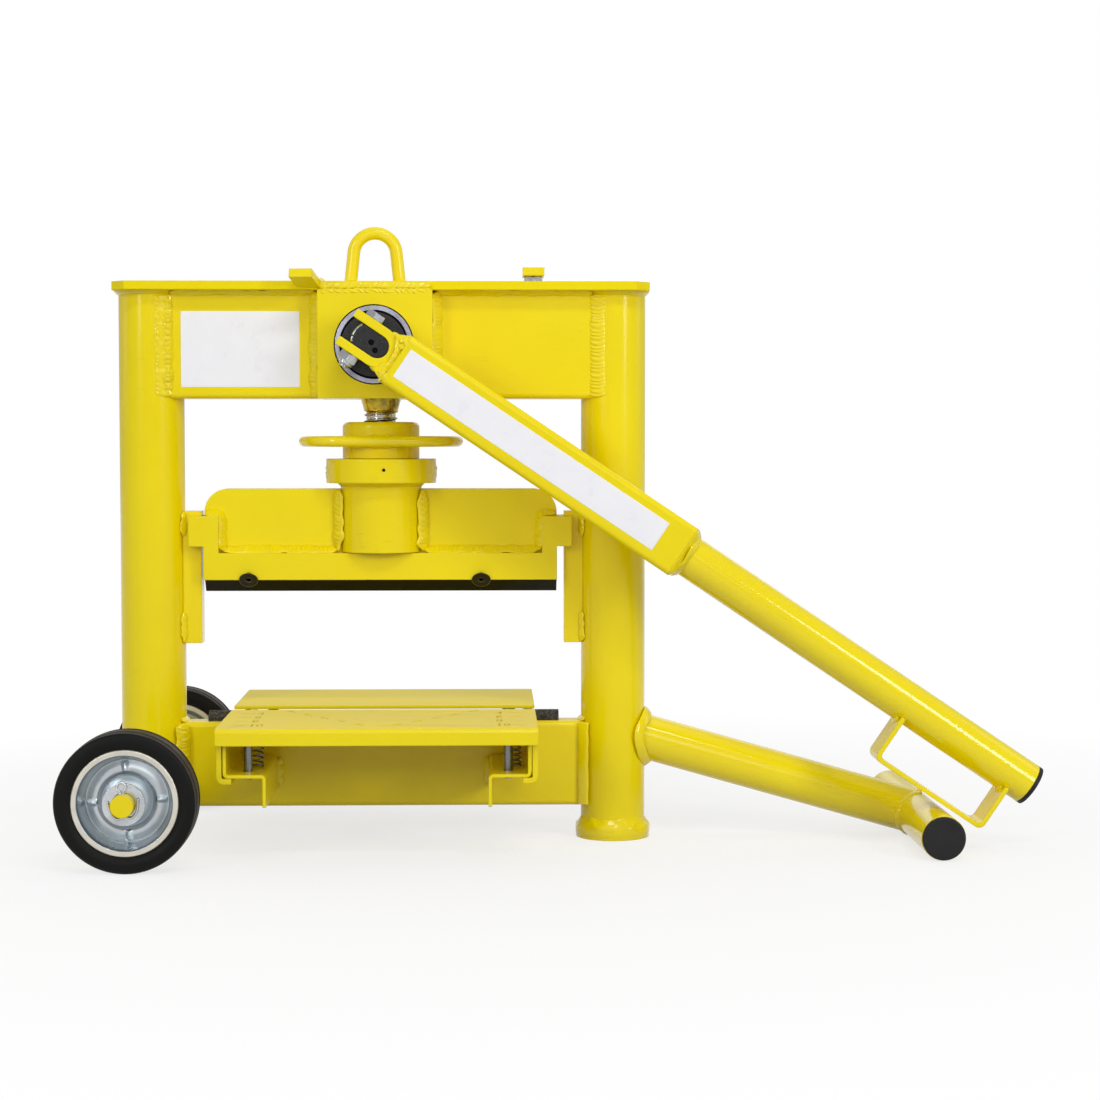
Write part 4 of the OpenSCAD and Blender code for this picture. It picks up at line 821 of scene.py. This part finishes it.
def leverWelds():
    v, looks = leverSizes, leverLooks
    rows = []
    # nose to fork: round the bend on the front and the back, then across the top and the underside
    a = np.radians(np.linspace(-58, 58, 48))
    arc = np.stack([np.cos(a), 0 * a, np.sin(a)], 1)
    for face in (-1, 1):
        path = np.array([v["bendS"], face * v["bendY"], 0]) + v["bendR"] * arc
        rows.append(bead(onLever(path), alongLever(arc * 0.2 + np.array([0, face, 0.0])),
                         201 + face, **looks["bend"]))
    for edge in (-1, 1):
        path = line((v["noseS"], -v["noseY"], edge * v["noseZ"]),
                    (v["noseS"], v["noseY"], edge * v["noseZ"]))
        rows.append(bead(onLever(path), alongLever((-0.1, 0, edge)), 205 + edge, **looks["nose"]))
    for s0, s1, z0, z1, width in v["lumps"]:
        path = line((s0, v["lumpY"][0], z0), (s1, v["lumpY"][1], z1))
        rows.append(bead(onLever(path), alongLever((-0.3, -0.9, 0.2 * np.sign(z0))), 220 + z0,
                         width, **looks["lump"]))
    # box to tube
    b = around(64)
    radial = np.stack([0 * b, np.cos(b), np.sin(b)], 1)
    path = np.array([v["boxEnd"], 0, 0]) + v["tubeR"] * radial
    rows.append(fillet(onLever(path), alongLever(radial), alongLever((1, 0, 0)), 210,
                       **looks["boxEnd"]))
    # loop legs to tube
    y = np.linspace(-v["loopY"], v["loopY"], 30)
    for s, way in v["loopLegs"]:
        path = np.stack([s + 0 * y, y, -np.sqrt((v["tubeR"] + 0.2) ** 2 - y ** 2)], 1)
        rows.append(fillet(onLever(path), alongLever((way, 0, 0)), alongLever((0, 0, -1)), s,
                           **looks["loop"]))
    addPiece("lever_welds", rows, "lever", "weldPaint")


carriageSizes = {"x": -2.0, "webY": 10.0, "barTop": 270.0, "earTop": 304.6, "earR": 3.6,
                 "earEnd": 13, "uprightX": 151.0, "sleeveR": 38.0, "webTop": 330.0,
                 "collarR": 51.5, "collarLow": 335.5, "collarTop": 358.0}
carriageLooks = {
    "bar": {"leg": 8.5, "pitch": 4.2, "wander": 0.2, "scallop": 0.75, "bow": 1.4, "rise": 0.24},
    "upright": {"leg": 8, "pitch": 4.2, "wander": 0.2, "scallop": 0.75, "bow": 1.4, "rise": 0.24},
    "sleeve": {"leg": 9, "pitch": 4.6, "wander": 0.2, "scallop": 0.8, "bow": 1.6, "rise": 0.26},
    "collar": {"leg": 4.0, "pitch": 11, "scallop": 0.15, "closed": True},
    "lump": {"width": 9, "height": 1.4, "pitch": 7, "wander": 0.25, "scallop": 0.35},
}


def carriageWelds():
    v, looks = carriageSizes, carriageLooks
    low, z, r = v["barTop"], v["earTop"], v["earR"]
    c = np.radians(np.linspace(0, 90, 14))
    rows = []
    for face in (-1, 1):
        webOut = np.array([0, face, 0.0])
        y = face * v["webY"]
        for side in (-1, 1):
            seed = 230 + 2 * face + side
            inner = v["x"] + side * (v["sleeveR"] + 3)
            outer = v["x"] + side * v["uprightX"]
            # web to bar
            rows.append(fillet(line((inner, y, low), (outer - side * 3, y, low)), webOut, up, seed,
                               **looks["bar"]))
            # upright: up its inner side, round its corner and over its top
            corner = np.stack([outer + side * r * (1 - np.cos(c)), y + 0 * c,
                               z - r + r * np.sin(c)], 1)
            path = np.vstack([
                line((outer, y, low + 2), (outer, y, z - r - 0.5), 20), corner,
                line((outer + side * (r + 0.5), y, z), (outer + side * v["earEnd"], y, z), 10)])
            cornerOut = np.stack([-side * np.cos(c), 0 * c, np.sin(c)], 1)
            edgeOut = np.vstack([np.tile([-side, 0, 0.0], (20, 1)), cornerOut,
                                 np.tile(up, (10, 1))])
            rows.append(fillet(path, edgeOut, webOut, seed + 10, **looks["upright"]))
            # sleeve to web
            reach = math.sqrt(v["sleeveR"] ** 2 - v["webY"] ** 2)
            sleeveOut = np.array([side * reach, y, 0]) / v["sleeveR"]
            path = upright((v["x"] + side * reach, y), low + 2, v["webTop"] - 1)
            rows.append(fillet(path, sleeveOut, webOut, seed + 20, **looks["sleeve"]))
    # sleeve to collar, and a lump on each side of the collar
    path, radial = ringPath((v["x"], 0, v["collarLow"]), v["sleeveR"])
    rows.append(fillet(path, radial, -up, 260, **looks["collar"]))
    for side in (-1, 1):
        place = (v["x"] + side * (v["collarR"] - 0.4), 3)
        rows.append(bead(upright(place, v["collarLow"] + 2, v["collarTop"] - 3), (side, 0, 0),
                         262 + side, **looks["lump"]))
    addPiece("carriage_welds", rows, "carriage", "weldPaint")


handwheelSizes = {"z": 374.3, "apart": 4.4, "y": 36.4, "span": (-9, 11),
                  "look": {"width": 6, "height": 2.2, "pitch": 5, "wander": 0.2}}


def handwheelWelds():
    # above and below the rod, where the loop passes the nut
    v = handwheelSizes
    rows = []
    for face in (-1, 1):
        for level in (-1, 1):
            path = line(*((carriageSizes["x"] + x, face * v["y"], v["z"] + level * v["apart"])
                          for x in v["span"]))
            rows.append(bead(path, (0, face * 0.6, level * 0.8), 270 + face + 3 * level,
                             **v["look"]))
    addPiece("handwheel_welds", rows, "handwheel", "weldPaint")


for weld in (frameWelds, standWelds, leverWelds, carriageWelds, handwheelWelds):
    weld()
print("welds laid")


threadShape = {"low": 276.0, "runOut": 403.0, "shoulder": 414.0, "top": 423.1, "radius": 16.0,
               "neck": 19.0, "lead": 6.0, "depth": 2.3, "columns": 72, "flank": (2.6, 6.0),
               "lumps": 0.35, "goldBand": 2.5}


def spindleThread():
    # round bar whose radius is cut by a trapezium that climbs one lead each turn; a lumpy cone
    # leads into the neck
    v = threadShape
    z = np.concatenate([np.arange(v["low"], v["runOut"], 0.5),
                        np.linspace(v["runOut"], v["shoulder"], 24), [v["top"]]])[:, None]
    a = around(v["columns"])[None]
    turn = (z / v["lead"] - a / (2 * np.pi)) % 1
    cut = np.clip(v["flank"][0] - v["flank"][1] * np.abs(turn - 0.5), 0, 1)
    fromLow = (z - v["low"]) / 2
    fade = np.clip((v["runOut"] - z) / 1.5, 0, 1) * np.clip(fromLow, 0.4, 1)
    r = v["radius"] - v["depth"] * cut * fade - 1.5 * np.clip(1 - fromLow, 0, 1)
    cone = np.clip((z - v["runOut"]) / (v["shoulder"] - v["runOut"]), 0, 1)
    lumps = v["lumps"] * np.sin(3 * a + 1) * np.sin(7 * a + z / 3) * (cone > 0) * (cone < 1)
    r = r + (v["neck"] - v["radius"]) * cone - np.abs(lumps)
    piece = addPiece("spindle_thread", [shell(turned(r, z, a, carriageSizes["x"]))], "spindle",
                     "threadSteel", ("spindle",), 40, "goldGreaseAndReflection")
    # the cone and the thread's top take the gold finish: grease with a painted reflection of the
    # yellow paint
    height = faceValues(piece.data, "center")[:, 2] * 1000
    useFinish(piece.data, height > v["runOut"] - v["goldBand"])


springShape = {"rodX": 116.5, "aside": 6.0, "y": 96.0, "low": 80.2, "high": 118.8, "radius": 5.2,
               "wire": 0.8, "turns": 9.0, "travel": 6.0, "lift": {"front": 0.0, "back": 1.0},
               "flatTurns": 0.75, "flatRise": 1.4}


def tableSprings(half):
    # wire on a helix whose first and last three quarters of a turn lie nearly flat
    v = springShape
    turn = v["turns"] * np.linspace(0, 1, 420)
    flat = v["flatTurns"]
    free = np.clip((turn - flat) / (v["turns"] - 2 * flat), 0, 1)
    ends = np.clip(turn / flat, 0, 1) + 1 - np.clip((v["turns"] - turn) / flat, 0, 1)
    climb = v["high"] - v["low"] - 2 * v["wire"] - 2 * v["flatRise"]
    lift = v["lift"][half]
    z = v["low"] + v["wire"] + v["flatRise"] * ends + climb * free + lift
    rows = []
    for side in (-1, 1):
        x = side * v["rodX"] + v["aside"] + v["radius"] * np.cos(2 * np.pi * turn)
        y = halves[half] * v["y"] + v["radius"] * np.sin(2 * np.pi * turn)
        rows.append(tube(np.stack([x, y, z], 1), v["wire"], 10))
    piece = addPiece(half + "_table_coils", rows, "frame", "rodSteelInShade",
                     (half + "_table_springs",))
    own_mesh(piece)


spindleThread()
for half in halves:
    tableSprings(half)
print("thread and springs wound")


wheelShape = {"x": -216.5, "y": 175.0, "z": 62.0, "hub": 13.6, "outer": 47.15, "lip": 16.75,
              "web": -2.4, "ring": 2.2, "cone": 2.6, "sheet": 2.0, "ribRise": 2.4, "ribHalf": 3.4,
              "turn": 3.0, "roll": 1.4,
              # shares of the rim's radius at which each form starts and ends
              "coneEnd": (0.28, 0.49), "ringUp": (0.47, 0.57), "ringDown": (0.59, 0.79),
              "ribUp": (0.53, 0.57), "ribDown": (0.715, 0.77), "wallFrom": 0.76,
              "lipFrom": 0.893, "rollFrom": 0.965, "rollWidth": 0.035,
              # painted shade in the hollow round the hub: its middle, width and strength, and on
              # the wall: its ends and strength
              "hollowAt": 0.43, "hollowWidth": 0.075, "hollowDull": 0.85, "wallShadeSpan": (0.75, 0.8),
              "wallShadeStrength": 0.4}


def smoothStep(q, low, high):
    t = np.clip((q - low) / (high - low), 0, 1)
    return t * t * (3 - 2 * t)


def fromAxle(piece):
    # how far each face's middle lies from the axle's line, in millimetres
    away = faceValues(piece.data, "center") - press((wheelShape["x"], 0, wheelShape["z"]))
    return np.hypot(away[:, 0], away[:, 2]) * 1000


def rimFace(r, a):
    # height of the pressed face over the wheel's middle plane: a cone round the hub, a raised ring
    # crossed by four ribs, and a steep wall up to the rolled lip, joined by smooth steps
    v = wheelShape
    q = r / v["outer"]
    wall = smoothStep(q, v["wallFrom"], v["lipFrom"])
    h = v["web"] + v["cone"] * (1 - smoothStep(q, *v["coneEnd"]))
    h = h + v["ring"] * smoothStep(q, *v["ringUp"]) * (1 - smoothStep(q, *v["ringDown"]))
    quarter = (a - math.radians(v["turn"]) + np.pi / 4) % (np.pi / 2) - np.pi / 4
    ridge = np.clip(1 - np.abs(quarter) * r / v["ribHalf"], 0, 1)
    reach = smoothStep(q, *v["ribUp"]) * (1 - smoothStep(q, *v["ribDown"]))
    h = h + v["ribRise"] * reach * ridge
    roll = v["roll"] * np.clip((q - v["rollFrom"]) / v["rollWidth"], 0, 1) ** 2
    front = h * (1 - wall) + v["lip"] * wall - roll
    return front, (h - v["sheet"]) * (1 - wall) - v["lip"] * wall + roll


def pressedRim(half):
    # one closed skin: the outer face from hub to lip, then the inner face from lip to hub
    v = wheelShape
    r = np.concatenate([np.linspace(v["hub"], v["wallFrom"] * v["outer"], 70),
                        np.linspace(0.765, 0.965, 40) * v["outer"],
                        np.linspace(0.97, 1, 8) * v["outer"]])
    a = around(320)
    rr, aa = np.meshgrid(r, a, indexing="ij")
    outer, inner = [np.stack([v["x"] + rr * np.cos(aa), halves[half] * (v["y"] + h),
                              v["z"] + rr * np.sin(aa)], -1) for h in rimFace(rr, aa)]
    skin = shell(np.concatenate([outer, inner[::-1]]), wrapRows=True)
    piece = addPiece(half + "_pressed_rim", [skin], half + "_wheel", "rimZinc",
                     (half + "_rim",), second="lipZinc")
    useFinish(piece.data, fromAxle(piece) > v["lipFrom"] * v["outer"])
    # painted shade: a darker tone in the hollow round the hub and on the wall, kept on the points
    q = np.concatenate([r, r[::-1]]) / v["outer"]
    tone = v["hollowDull"] * np.exp(-((q - v["hollowAt"]) / v["hollowWidth"]) ** 2)
    tone = tone + v["wallShadeStrength"] * smoothStep(q, *v["wallShadeSpan"])
    hollow = piece.data.attributes.new("hollow", "FLOAT", "POINT")
    hollow.data.foreach_set("value", np.repeat(tone, len(a)).astype(np.float32))


tyreShape = {"radius": 62.0, "half": 18.75, "shoulder": 4.5, "grooves": (-11.8, -7.4, 7.4, 11.8),
             "grooveHalf": 1.4, "grooveDeep": 2.0, "crown": 0.6, "bulge": 0.6,
             # where the tyre grips the rim: out from the rim's edge, in from the tyre's side
             "seat": ((-2, 5), (0.1, 2.6), (0.9, 1.8)), "sideFrom": (1.8, 1.2),
             "wornSheenFrom": 1.2, "wornSheenSlope": 0.6}


def groovedTyre(half):
    # tyre section turned about the axle: flat sides, round shoulders, and a tread with round-edged
    # grooves
    v, wheel = tyreShape, wheelShape
    rim, side, edge = wheel["outer"], v["half"], v["shoulder"]
    y = np.linspace(-side + edge, side - edge, 220)
    near = np.min(np.abs(y[:, None] - np.array(v["grooves"])[None]), 1)
    groove = 1 - smoothStep(near, 0.5 * v["grooveHalf"], v["grooveHalf"])
    tread = v["radius"] - v["grooveDeep"] * groove - v["crown"] * (y / side) ** 4
    corner = v["radius"] - v["crown"] * ((side - edge) / side) ** 4 - edge
    b = np.linspace(0, 1, 12)
    out, back = v["sideFrom"]
    flank = np.stack([rim + out + (corner - rim - out) * b,
                      -side + back * (1 - b) ** 2 - v["bulge"] * np.sin(np.pi * b)], 1)
    flank = np.vstack([np.array(v["seat"]) + np.array([rim, -side]), flank])
    t = np.radians(np.linspace(0, 90, 9))
    turn = np.stack([corner + edge * np.sin(t), -side + edge - edge * np.cos(t)], 1)
    mirror = np.array([1, -1])
    outline = np.vstack([flank, turn[1:], np.stack([tread, y], 1)[1:-1], (turn * mirror)[::-1],
                         (flank * mirror)[::-1][1:]])
    a = around(256)[None]
    r, depth = outline[:, :1], outline[:, 1:]
    points = np.stack([wheel["x"] + r * np.cos(a), halves[half] * wheel["y"] + depth + 0 * a,
                       wheel["z"] + r * np.sin(a)], -1)
    piece = addPiece(half + "_grooved_tyre", [shell(points, wrapRows=True)], half + "_wheel",
                     "tyreRubber", (half + "_tyre",), 50, "treadRubber")
    # the tread's faces take the paler tread grey: worn rubber, and a painted sheen
    facing = np.abs(faceValues(piece.data, "normal")[:, 1])
    outside = fromAxle(piece) > v["radius"] - v["wornSheenFrom"]
    useFinish(piece.data, (facing < v["wornSheenSlope"]) & outside)


pinShape = {"y": 198.6, "wire": 1.15, "eye": 4.0, "eyeTurn": (-55, 235), "lean": 6.0, "top": 15.6,
            "leg": ((13.2, 4.6), (12.4, -1.5), (10.6, -7.4), (6.4, -11.6), (2.2, -11.2),
                    (1.2, -8.5), (1.2, 0), (1.2, 8.5), (2.0, 11.6))}


def splitPins():
    # one wire: up through the axle, round the eye and down again; under the axle both ends are
    # spread and bent up
    v = pinShape
    c, s = math.cos(math.radians(v["lean"])), math.sin(math.radians(v["lean"]))
    bend = np.radians(np.linspace(*v["eyeTurn"], 30))
    eye = np.stack([v["eye"] * np.cos(bend), v["top"] + v["eye"] * np.sin(bend)], 1)
    leg = smoothPath(v["leg"], 60)
    x, z = np.vstack([leg, eye, leg[::-1] * np.array([-1.0, 1.0])]).T
    rows = []
    for side in (-1, 1):
        path = np.stack([wheelShape["x"] + (x * c - z * s), side * v["y"] + 0 * x,
                         wheelShape["z"] + (x * s + z * c)], 1)
        rows.append(tube(path, v["wire"], 10, (0.0, 1.0, 0.0)))
    addPiece("split_pin_wires", rows, "frame", "zincPlate", ("split_pins",))


for make in (pressedRim, groovedTyre):
    for half in halves:
        make(half)
splitPins()
print("rims pressed and pins bent")


boltShape = {"thread": 10.0, "head": 17.0, "headH": 6.4, "nutH": 8.0, "collarH": 3.0,
             "collarR": 0.43, "strapOut": 18.65, "s": -10.5, "past": 3, "pitch": 1.5,
             "keeper": (141.0, -10.0), "keeperNut": 6.0, "keeperT": 7.5, "sharp": 30}


def hexBar(height, across, rows=9):
    # six-sided bar whose ends are turned to a cone: the radius is the lesser of the hexagon's and
    # the cone's
    a = around(96)[None]
    flat = (a + np.pi / 6) % (np.pi / 3) - np.pi / 6
    share = np.concatenate([np.linspace(0, 0.16, rows), np.linspace(0.84, 1, rows)])
    z = share[:, None] * height
    cone = across / 2 * 0.985 + np.minimum(z, height - z) * 1.7
    return turned(np.minimum(across / 2 / np.cos(flat), cone), z, a)


def threadedBar(low, high, radius, pitch):
    # round bar with a fine V thread that climbs one pitch each turn and fades at its end
    a = around(40)[None]
    z = np.arange(low, high + 0.1, pitch / 8)[:, None]
    saw = np.abs((z / pitch - a / (2 * np.pi)) % 1 - 0.5) * 2
    fade = np.clip(0.9 - np.minimum(z - low, high - z), 0, 0.9)
    return turned(radius - 0.55 * pitch * (1 - saw) - fade, z, a)


def roundBar(low, high, radius, edge):
    # turned bar with small rounded ends
    rise = edge * (1 - np.sin(np.radians(np.linspace(0, 90, 6))))
    z = np.sort(np.concatenate([low + rise, high - rise]))[:, None]
    inside = np.minimum(z - low, high - z).clip(0, edge)
    r = radius - edge + np.sqrt(edge ** 2 - (edge - inside) ** 2)
    return turned(r, z, around(48)[None])


def addBolt(name, grids, body, finish, node):
    addPiece(name, [shell(g) for g in grids], body, finish, (node,),
             boltShape["sharp"])


def bolts():
    v = boltShape
    radius, out = v["thread"] / 2, v["strapOut"]
    place, flip = np.array([v["s"], 0, 0]), np.array([1.0, -1.0, -1.0])
    above, below = place + np.array([0, 0, out]), place + np.array([0, 0, -out])
    end = out + v["nutH"] + v["collarH"] + v["past"]
    head = hexBar(v["headH"], v["head"]) + above
    stem = threadedBar(-end, out, radius, v["pitch"]) + place
    addBolt("fork_bolt_turned", (onLever(head), onLever(stem)), "lever", "boltZinc", "fork_bolt")
    nut = hexBar(v["nutH"], v["head"]) * flip + below
    ring = roundBar(v["nutH"] - 0.5, v["nutH"] + v["collarH"], v["head"] * v["collarR"], 1.2)
    addBolt("fork_nut_turned", (onLever(nut), onLever(ring * flip + below)), "lever", "boltZinc",
            "fork_nut")
    place = np.array([*v["keeper"], frameSizes["plateTop"]])
    nut = hexBar(v["keeperNut"], v["head"]) + place
    stem = threadedBar(0, v["keeperNut"] + v["keeperT"], radius, v["pitch"]) + place
    addBolt("keeper_bolt_turned", (nut, stem), "frame", "zincPlate", "keeper_bolt")


bolts()
print("bolts turned")


bushShape = {"x": -6.5, "z": 463.6, "face": -46.0, "bushR": 36.0, "journalR": 30.0, "gap": 0.9,
             "gapRise": 0.12, "stubFace": -95.0, "stubR": 19.0,
             "holes": ((0.0, 0.0), (3.38, -7.25)), "holeR": 2.45, "holeIn": 0.9,
             "bareEdge": ((149, 192), (196, 211)), "edgeIn": 0.9, "edgeBack": 0.95,
             "edgeHalf": (0.8, 0.2, 0.1)}


def flatRing(inner, outer):
    # thin ring on the housing's face: a low rounded profile carried round the shaft
    v = bushShape
    a, t = around(96)[:, None], around(12)[None]
    r = (inner + outer) / 2 + (outer - inner) / 2 * np.cos(t)
    return shell(np.stack([v["x"] + r * np.cos(a), v["face"] - v["gapRise"] * np.sin(t) + 0 * a,
                           v["z"] + r * np.sin(a)], -1), wrapRows=True)


def bushGaps():
    # dark lines round the bush and round the journal
    v = bushShape
    rows = [flatRing(v["bushR"] - 0.3, v["bushR"] + v["gap"]),
            flatRing(v["journalR"] - 0.2, v["journalR"] + 2 * v["gap"])]
    addPiece("bush_gap_lines", rows, "frame", "darkGap")
    # near-black discs at the bottoms of the stub's two centre holes: painted shade in the holes
    floor = roundBar(0.0, 0.6, v["holeR"], 0.2)[..., [0, 2, 1]]
    rows = [shell(floor + np.array([v["x"] + x, v["stubFace"] + v["holeIn"], v["z"] + z]))
            for x, z in v["holes"]]
    addPiece("stub_hole_painted_shade", rows, "lever", "darkGap")


def stubEdge():
    # the bare turned edge of the stub's end face, on the side away from the fork's bend: a thin
    # slanted ellipse carried along two arcs
    v = bushShape
    t = around(10)[None]
    wide, thin, tilt = v["edgeHalf"]
    slant = wide * np.cos(t) - thin * np.sin(t)
    r, y = v["stubR"] - v["edgeIn"] + slant, v["stubFace"] + v["edgeBack"] + slant
    rows = []
    for low, high in v["bareEdge"]:
        a = np.radians(np.linspace(low, high, 60))[:, None] - leverSizes["angle"]
        rows.append(shell(np.stack([v["x"] + r * np.cos(a), y + tilt * np.sin(t) + 0 * a,
                                    v["z"] + r * np.sin(a)], -1)))
    addPiece("stub_bare_edge", rows, "lever", "zincPlate")


bushGaps()
stubEdge()
print("bush lines and stub edge made")


panelShape = {"beam": {"left": -186.0, "right": -76.0, "low": 424.5, "high": 495.0},
              "lever": {"start": 33.5, "end": 314.0, "half": 14.6}, "face": -25.0, "thick": 0.3,
              "edge": 0.4,
              # grid lines along and across, as shares: at the rim, from where even, how many
              "grid": (((0, 0.0015, 0.006), 0.02, 40), ((0, 0.004, 0.012), 0.03, 24))}


def thinPanel(name, body, corner, along, across):
    # flat sheet with a rounded edge all round: a grid over the face whose rim drops to the wall
    # behind it, closed by Solidify
    u, w = [np.concatenate([rim, np.linspace(first, 1 - first, count), 1 - np.array(rim[::-1])])
            for rim, first, count in panelShape["grid"]]
    uu, ww = np.meshgrid(u, w, indexing="ij")
    fromEdge = np.minimum(np.minimum(uu, 1 - uu) * np.linalg.norm(along),
                          np.minimum(ww, 1 - ww) * np.linalg.norm(across))
    rise = panelShape["thick"] * np.sqrt(np.clip(fromEdge / panelShape["edge"], 0, 1))
    face = (corner + uu[..., None] * along + ww[..., None] * across
            + rise[..., None] * np.array([0, -1.0, 0]))
    piece = addPiece(name, [shell(face, wrapCols=False)], body, "panelWhite")
    wall = piece.modifiers.new("thickness", "SOLIDIFY")
    wall.thickness = panelShape["thick"] / 1000
    wall.offset = -1


def blankPanels():
    face, beam, lever = panelShape["face"], panelShape["beam"], panelShape["lever"]
    thinPanel("beam_panel", "frame", np.array([beam["left"], face, beam["low"]]),
              np.array([beam["right"] - beam["left"], 0, 0.0]),
              np.array([0, 0, beam["high"] - beam["low"]]))
    thinPanel("lever_panel", "lever", onLever((lever["start"], face, -lever["half"])),
              alongLever((lever["end"] - lever["start"], 0, 0)),
              alongLever((0, 0, 2 * lever["half"])))


blankPanels()
print("panels set")


numberShape = {"rows": ("4", "6", "8", "10"), "size": 0.0235, "narrow": 0.56, "deep": 0.006,
               "starts": (-115.5, 105.0), "tableIn": 11.0, "tableOut": 158.0, "top": 122.0,
               "thick": 3.0}


def finalMesh(made):
    # the mesh of an object with its modifiers, or of a curve or text
    bpy.context.view_layer.update()
    return bpy.data.meshes.new_from_object(
        made.evaluated_get(bpy.context.evaluated_depsgraph_get()))


def numberBlocks():
    # plain numbers as upright blocks, one beside each cross mark on both sides of the front table
    v = numberShape
    verts, faces, start = [], [], 0
    for i, label in enumerate(v["rows"]):
        curve = bpy.data.curves.new("number", "FONT")
        curve.body, curve.size, curve.extrude = label, v["size"], v["deep"]
        curve.align_x, curve.align_y, curve.resolution_u = "LEFT", "CENTER", 4
        holder = newObject("number", curve)
        solid = finalMesh(holder)
        flat = np.empty(len(solid.vertices) * 3)
        solid.vertices.foreach_get("co", flat)
        flat = flat.reshape(-1, 3) * np.array([v["narrow"], 1, 1])
        y = -v["tableIn"] - (v["tableOut"] - v["tableIn"]) * (i + 1) / (len(v["rows"]) + 1)
        for x in v["starts"]:
            verts.append(flat + press((x, y, v["top"] - v["thick"] / 2)))
            faces += [[k + start for k in p.vertices] for p in solid.polygons]
            start += len(flat)
        bpy.data.objects.remove(holder)
    blocks = bpy.data.meshes.new("numberBlocks")
    blocks.from_pydata(np.vstack(verts).tolist(), [], faces)
    faceOutwards(blocks, 1e-7)
    return blocks


sheetShape = {"finishes": ("yellowPaint", "tablePaint", "foldPaint"), "topFrom": 0.99,
              "foldFrom": 0.03, "sharp": 32, "join": 1e-6}


def tableSheet(name, numbered):
    # a copy of a table's plate with its fold shaded round and a duller finish on its top; the front
    # one has its numbers cut through
    v = sheetShape
    nodeName = name + "_plate"
    mesh = frame["nodes"][nodeName].data.copy()
    work = bmesh.new()
    work.from_mesh(mesh)
    bmesh.ops.remove_doubles(work, verts=work.verts, dist=v["join"])
    work.to_mesh(mesh)
    work.free()
    sheet = newObject(name + "_sheet", mesh)
    if numbered:
        tool = newObject("numberTool", numberBlocks())
        cut = sheet.modifiers.new("numbers", "BOOLEAN")
        cut.operation, cut.object, cut.solver = "DIFFERENCE", tool, "EXACT"
        mesh = finalMesh(sheet)
        sheet.modifiers.clear()
        sheet.data = mesh
        bpy.data.objects.remove(tool)
    mesh.materials.clear()
    for kind in v["finishes"]:
        mesh.materials.append(finishes[kind])
    rise = faceValues(mesh, "normal")[:, 2]
    useFinish(mesh, np.where(rise > v["topFrom"], 1, np.where(rise > v["foldFrom"], 2, 0)))
    shadeSmooth(mesh, v["sharp"])
    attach(sheet, name)
    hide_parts(nodeName)
    print(name, "sheet:", len(mesh.polygons), "faces")


tableSheet("front_table", True)
tableSheet("back_table", False)


def raysSeen(tree, mirrored):
    # 1 on what the camera sees, a given level on what gloss and metal mirror, and 0 on the rest
    path = addNode(tree, "LightPath").outputs
    level = mathNode(tree, "MAXIMUM", path["Is Glossy Ray"], path["Is Transmission Ray"])
    level = mathNode(tree, "MULTIPLY", level, mirrored)
    return mathNode(tree, "MAXIMUM", path["Is Camera Ray"], level)


def makeFloor():
    # a flat pale floor; what is seen of it fades into plain white a little way from the object, and
    # what it throws back on the object is dimmer, as on a small sheet of paper
    s = studio["floorSize"]
    mesh = bpy.data.meshes.new("floor")
    mesh.from_pydata([(-s, -s, 0), (s, -s, 0), (s, s, 0), (-s, s, 0)], [], [(0, 1, 2, 3)])
    floor = newObject("floor", mesh)
    material, tree, shader, where = startMaterial("studioFloor")
    setInputs(tree, shader, {"Base_Color": studio["floorBounce"], "Roughness": 0.9,
                             "Specular_IOR_Level": 0.0})
    paper = addNode(tree, "BsdfDiffuse", Color=studio["floorColour"])
    white = addNode(tree, "Emission", Color=(1, 1, 1, 1), Strength=1.0)
    far = addNode(tree, "VectorMath", {"operation": "LENGTH"}, i0=where)
    fade = ramp(tree, far.outputs["Value"], *studio["floorFade"])
    shown = addNode(tree, "MixShader", i0=fade, i1=paper.outputs[0], i2=white.outputs[0])
    mix = addNode(tree, "MixShader", i0=raysSeen(tree, 1.0), i1=shader.outputs[0],
                  i2=shown.outputs[0])
    out = [n for n in tree.nodes if n.bl_idname == "ShaderNodeOutputMaterial"][0]
    tree.links.new(mix.outputs[0], out.inputs[0])
    mesh.materials.append(material)


def makeSky():
    # white where the camera looks past the object, dimmer in metal and gloss and as a light
    world = bpy.data.worlds.new("studioSky")
    scene.world = world
    world.use_nodes = True
    tree = world.node_tree
    tree.nodes.clear()
    level = mathNode(tree, "MAXIMUM", raysSeen(tree, studio["skyMirrored"]), studio["skyLevel"])
    back = addNode(tree, "Background", Color=(1, 1, 1, 1), Strength=level)
    addNode(tree, "OutputWorld", Surface=back.outputs[0])


makeFloor()
makeSky()
print("floor and sky made")
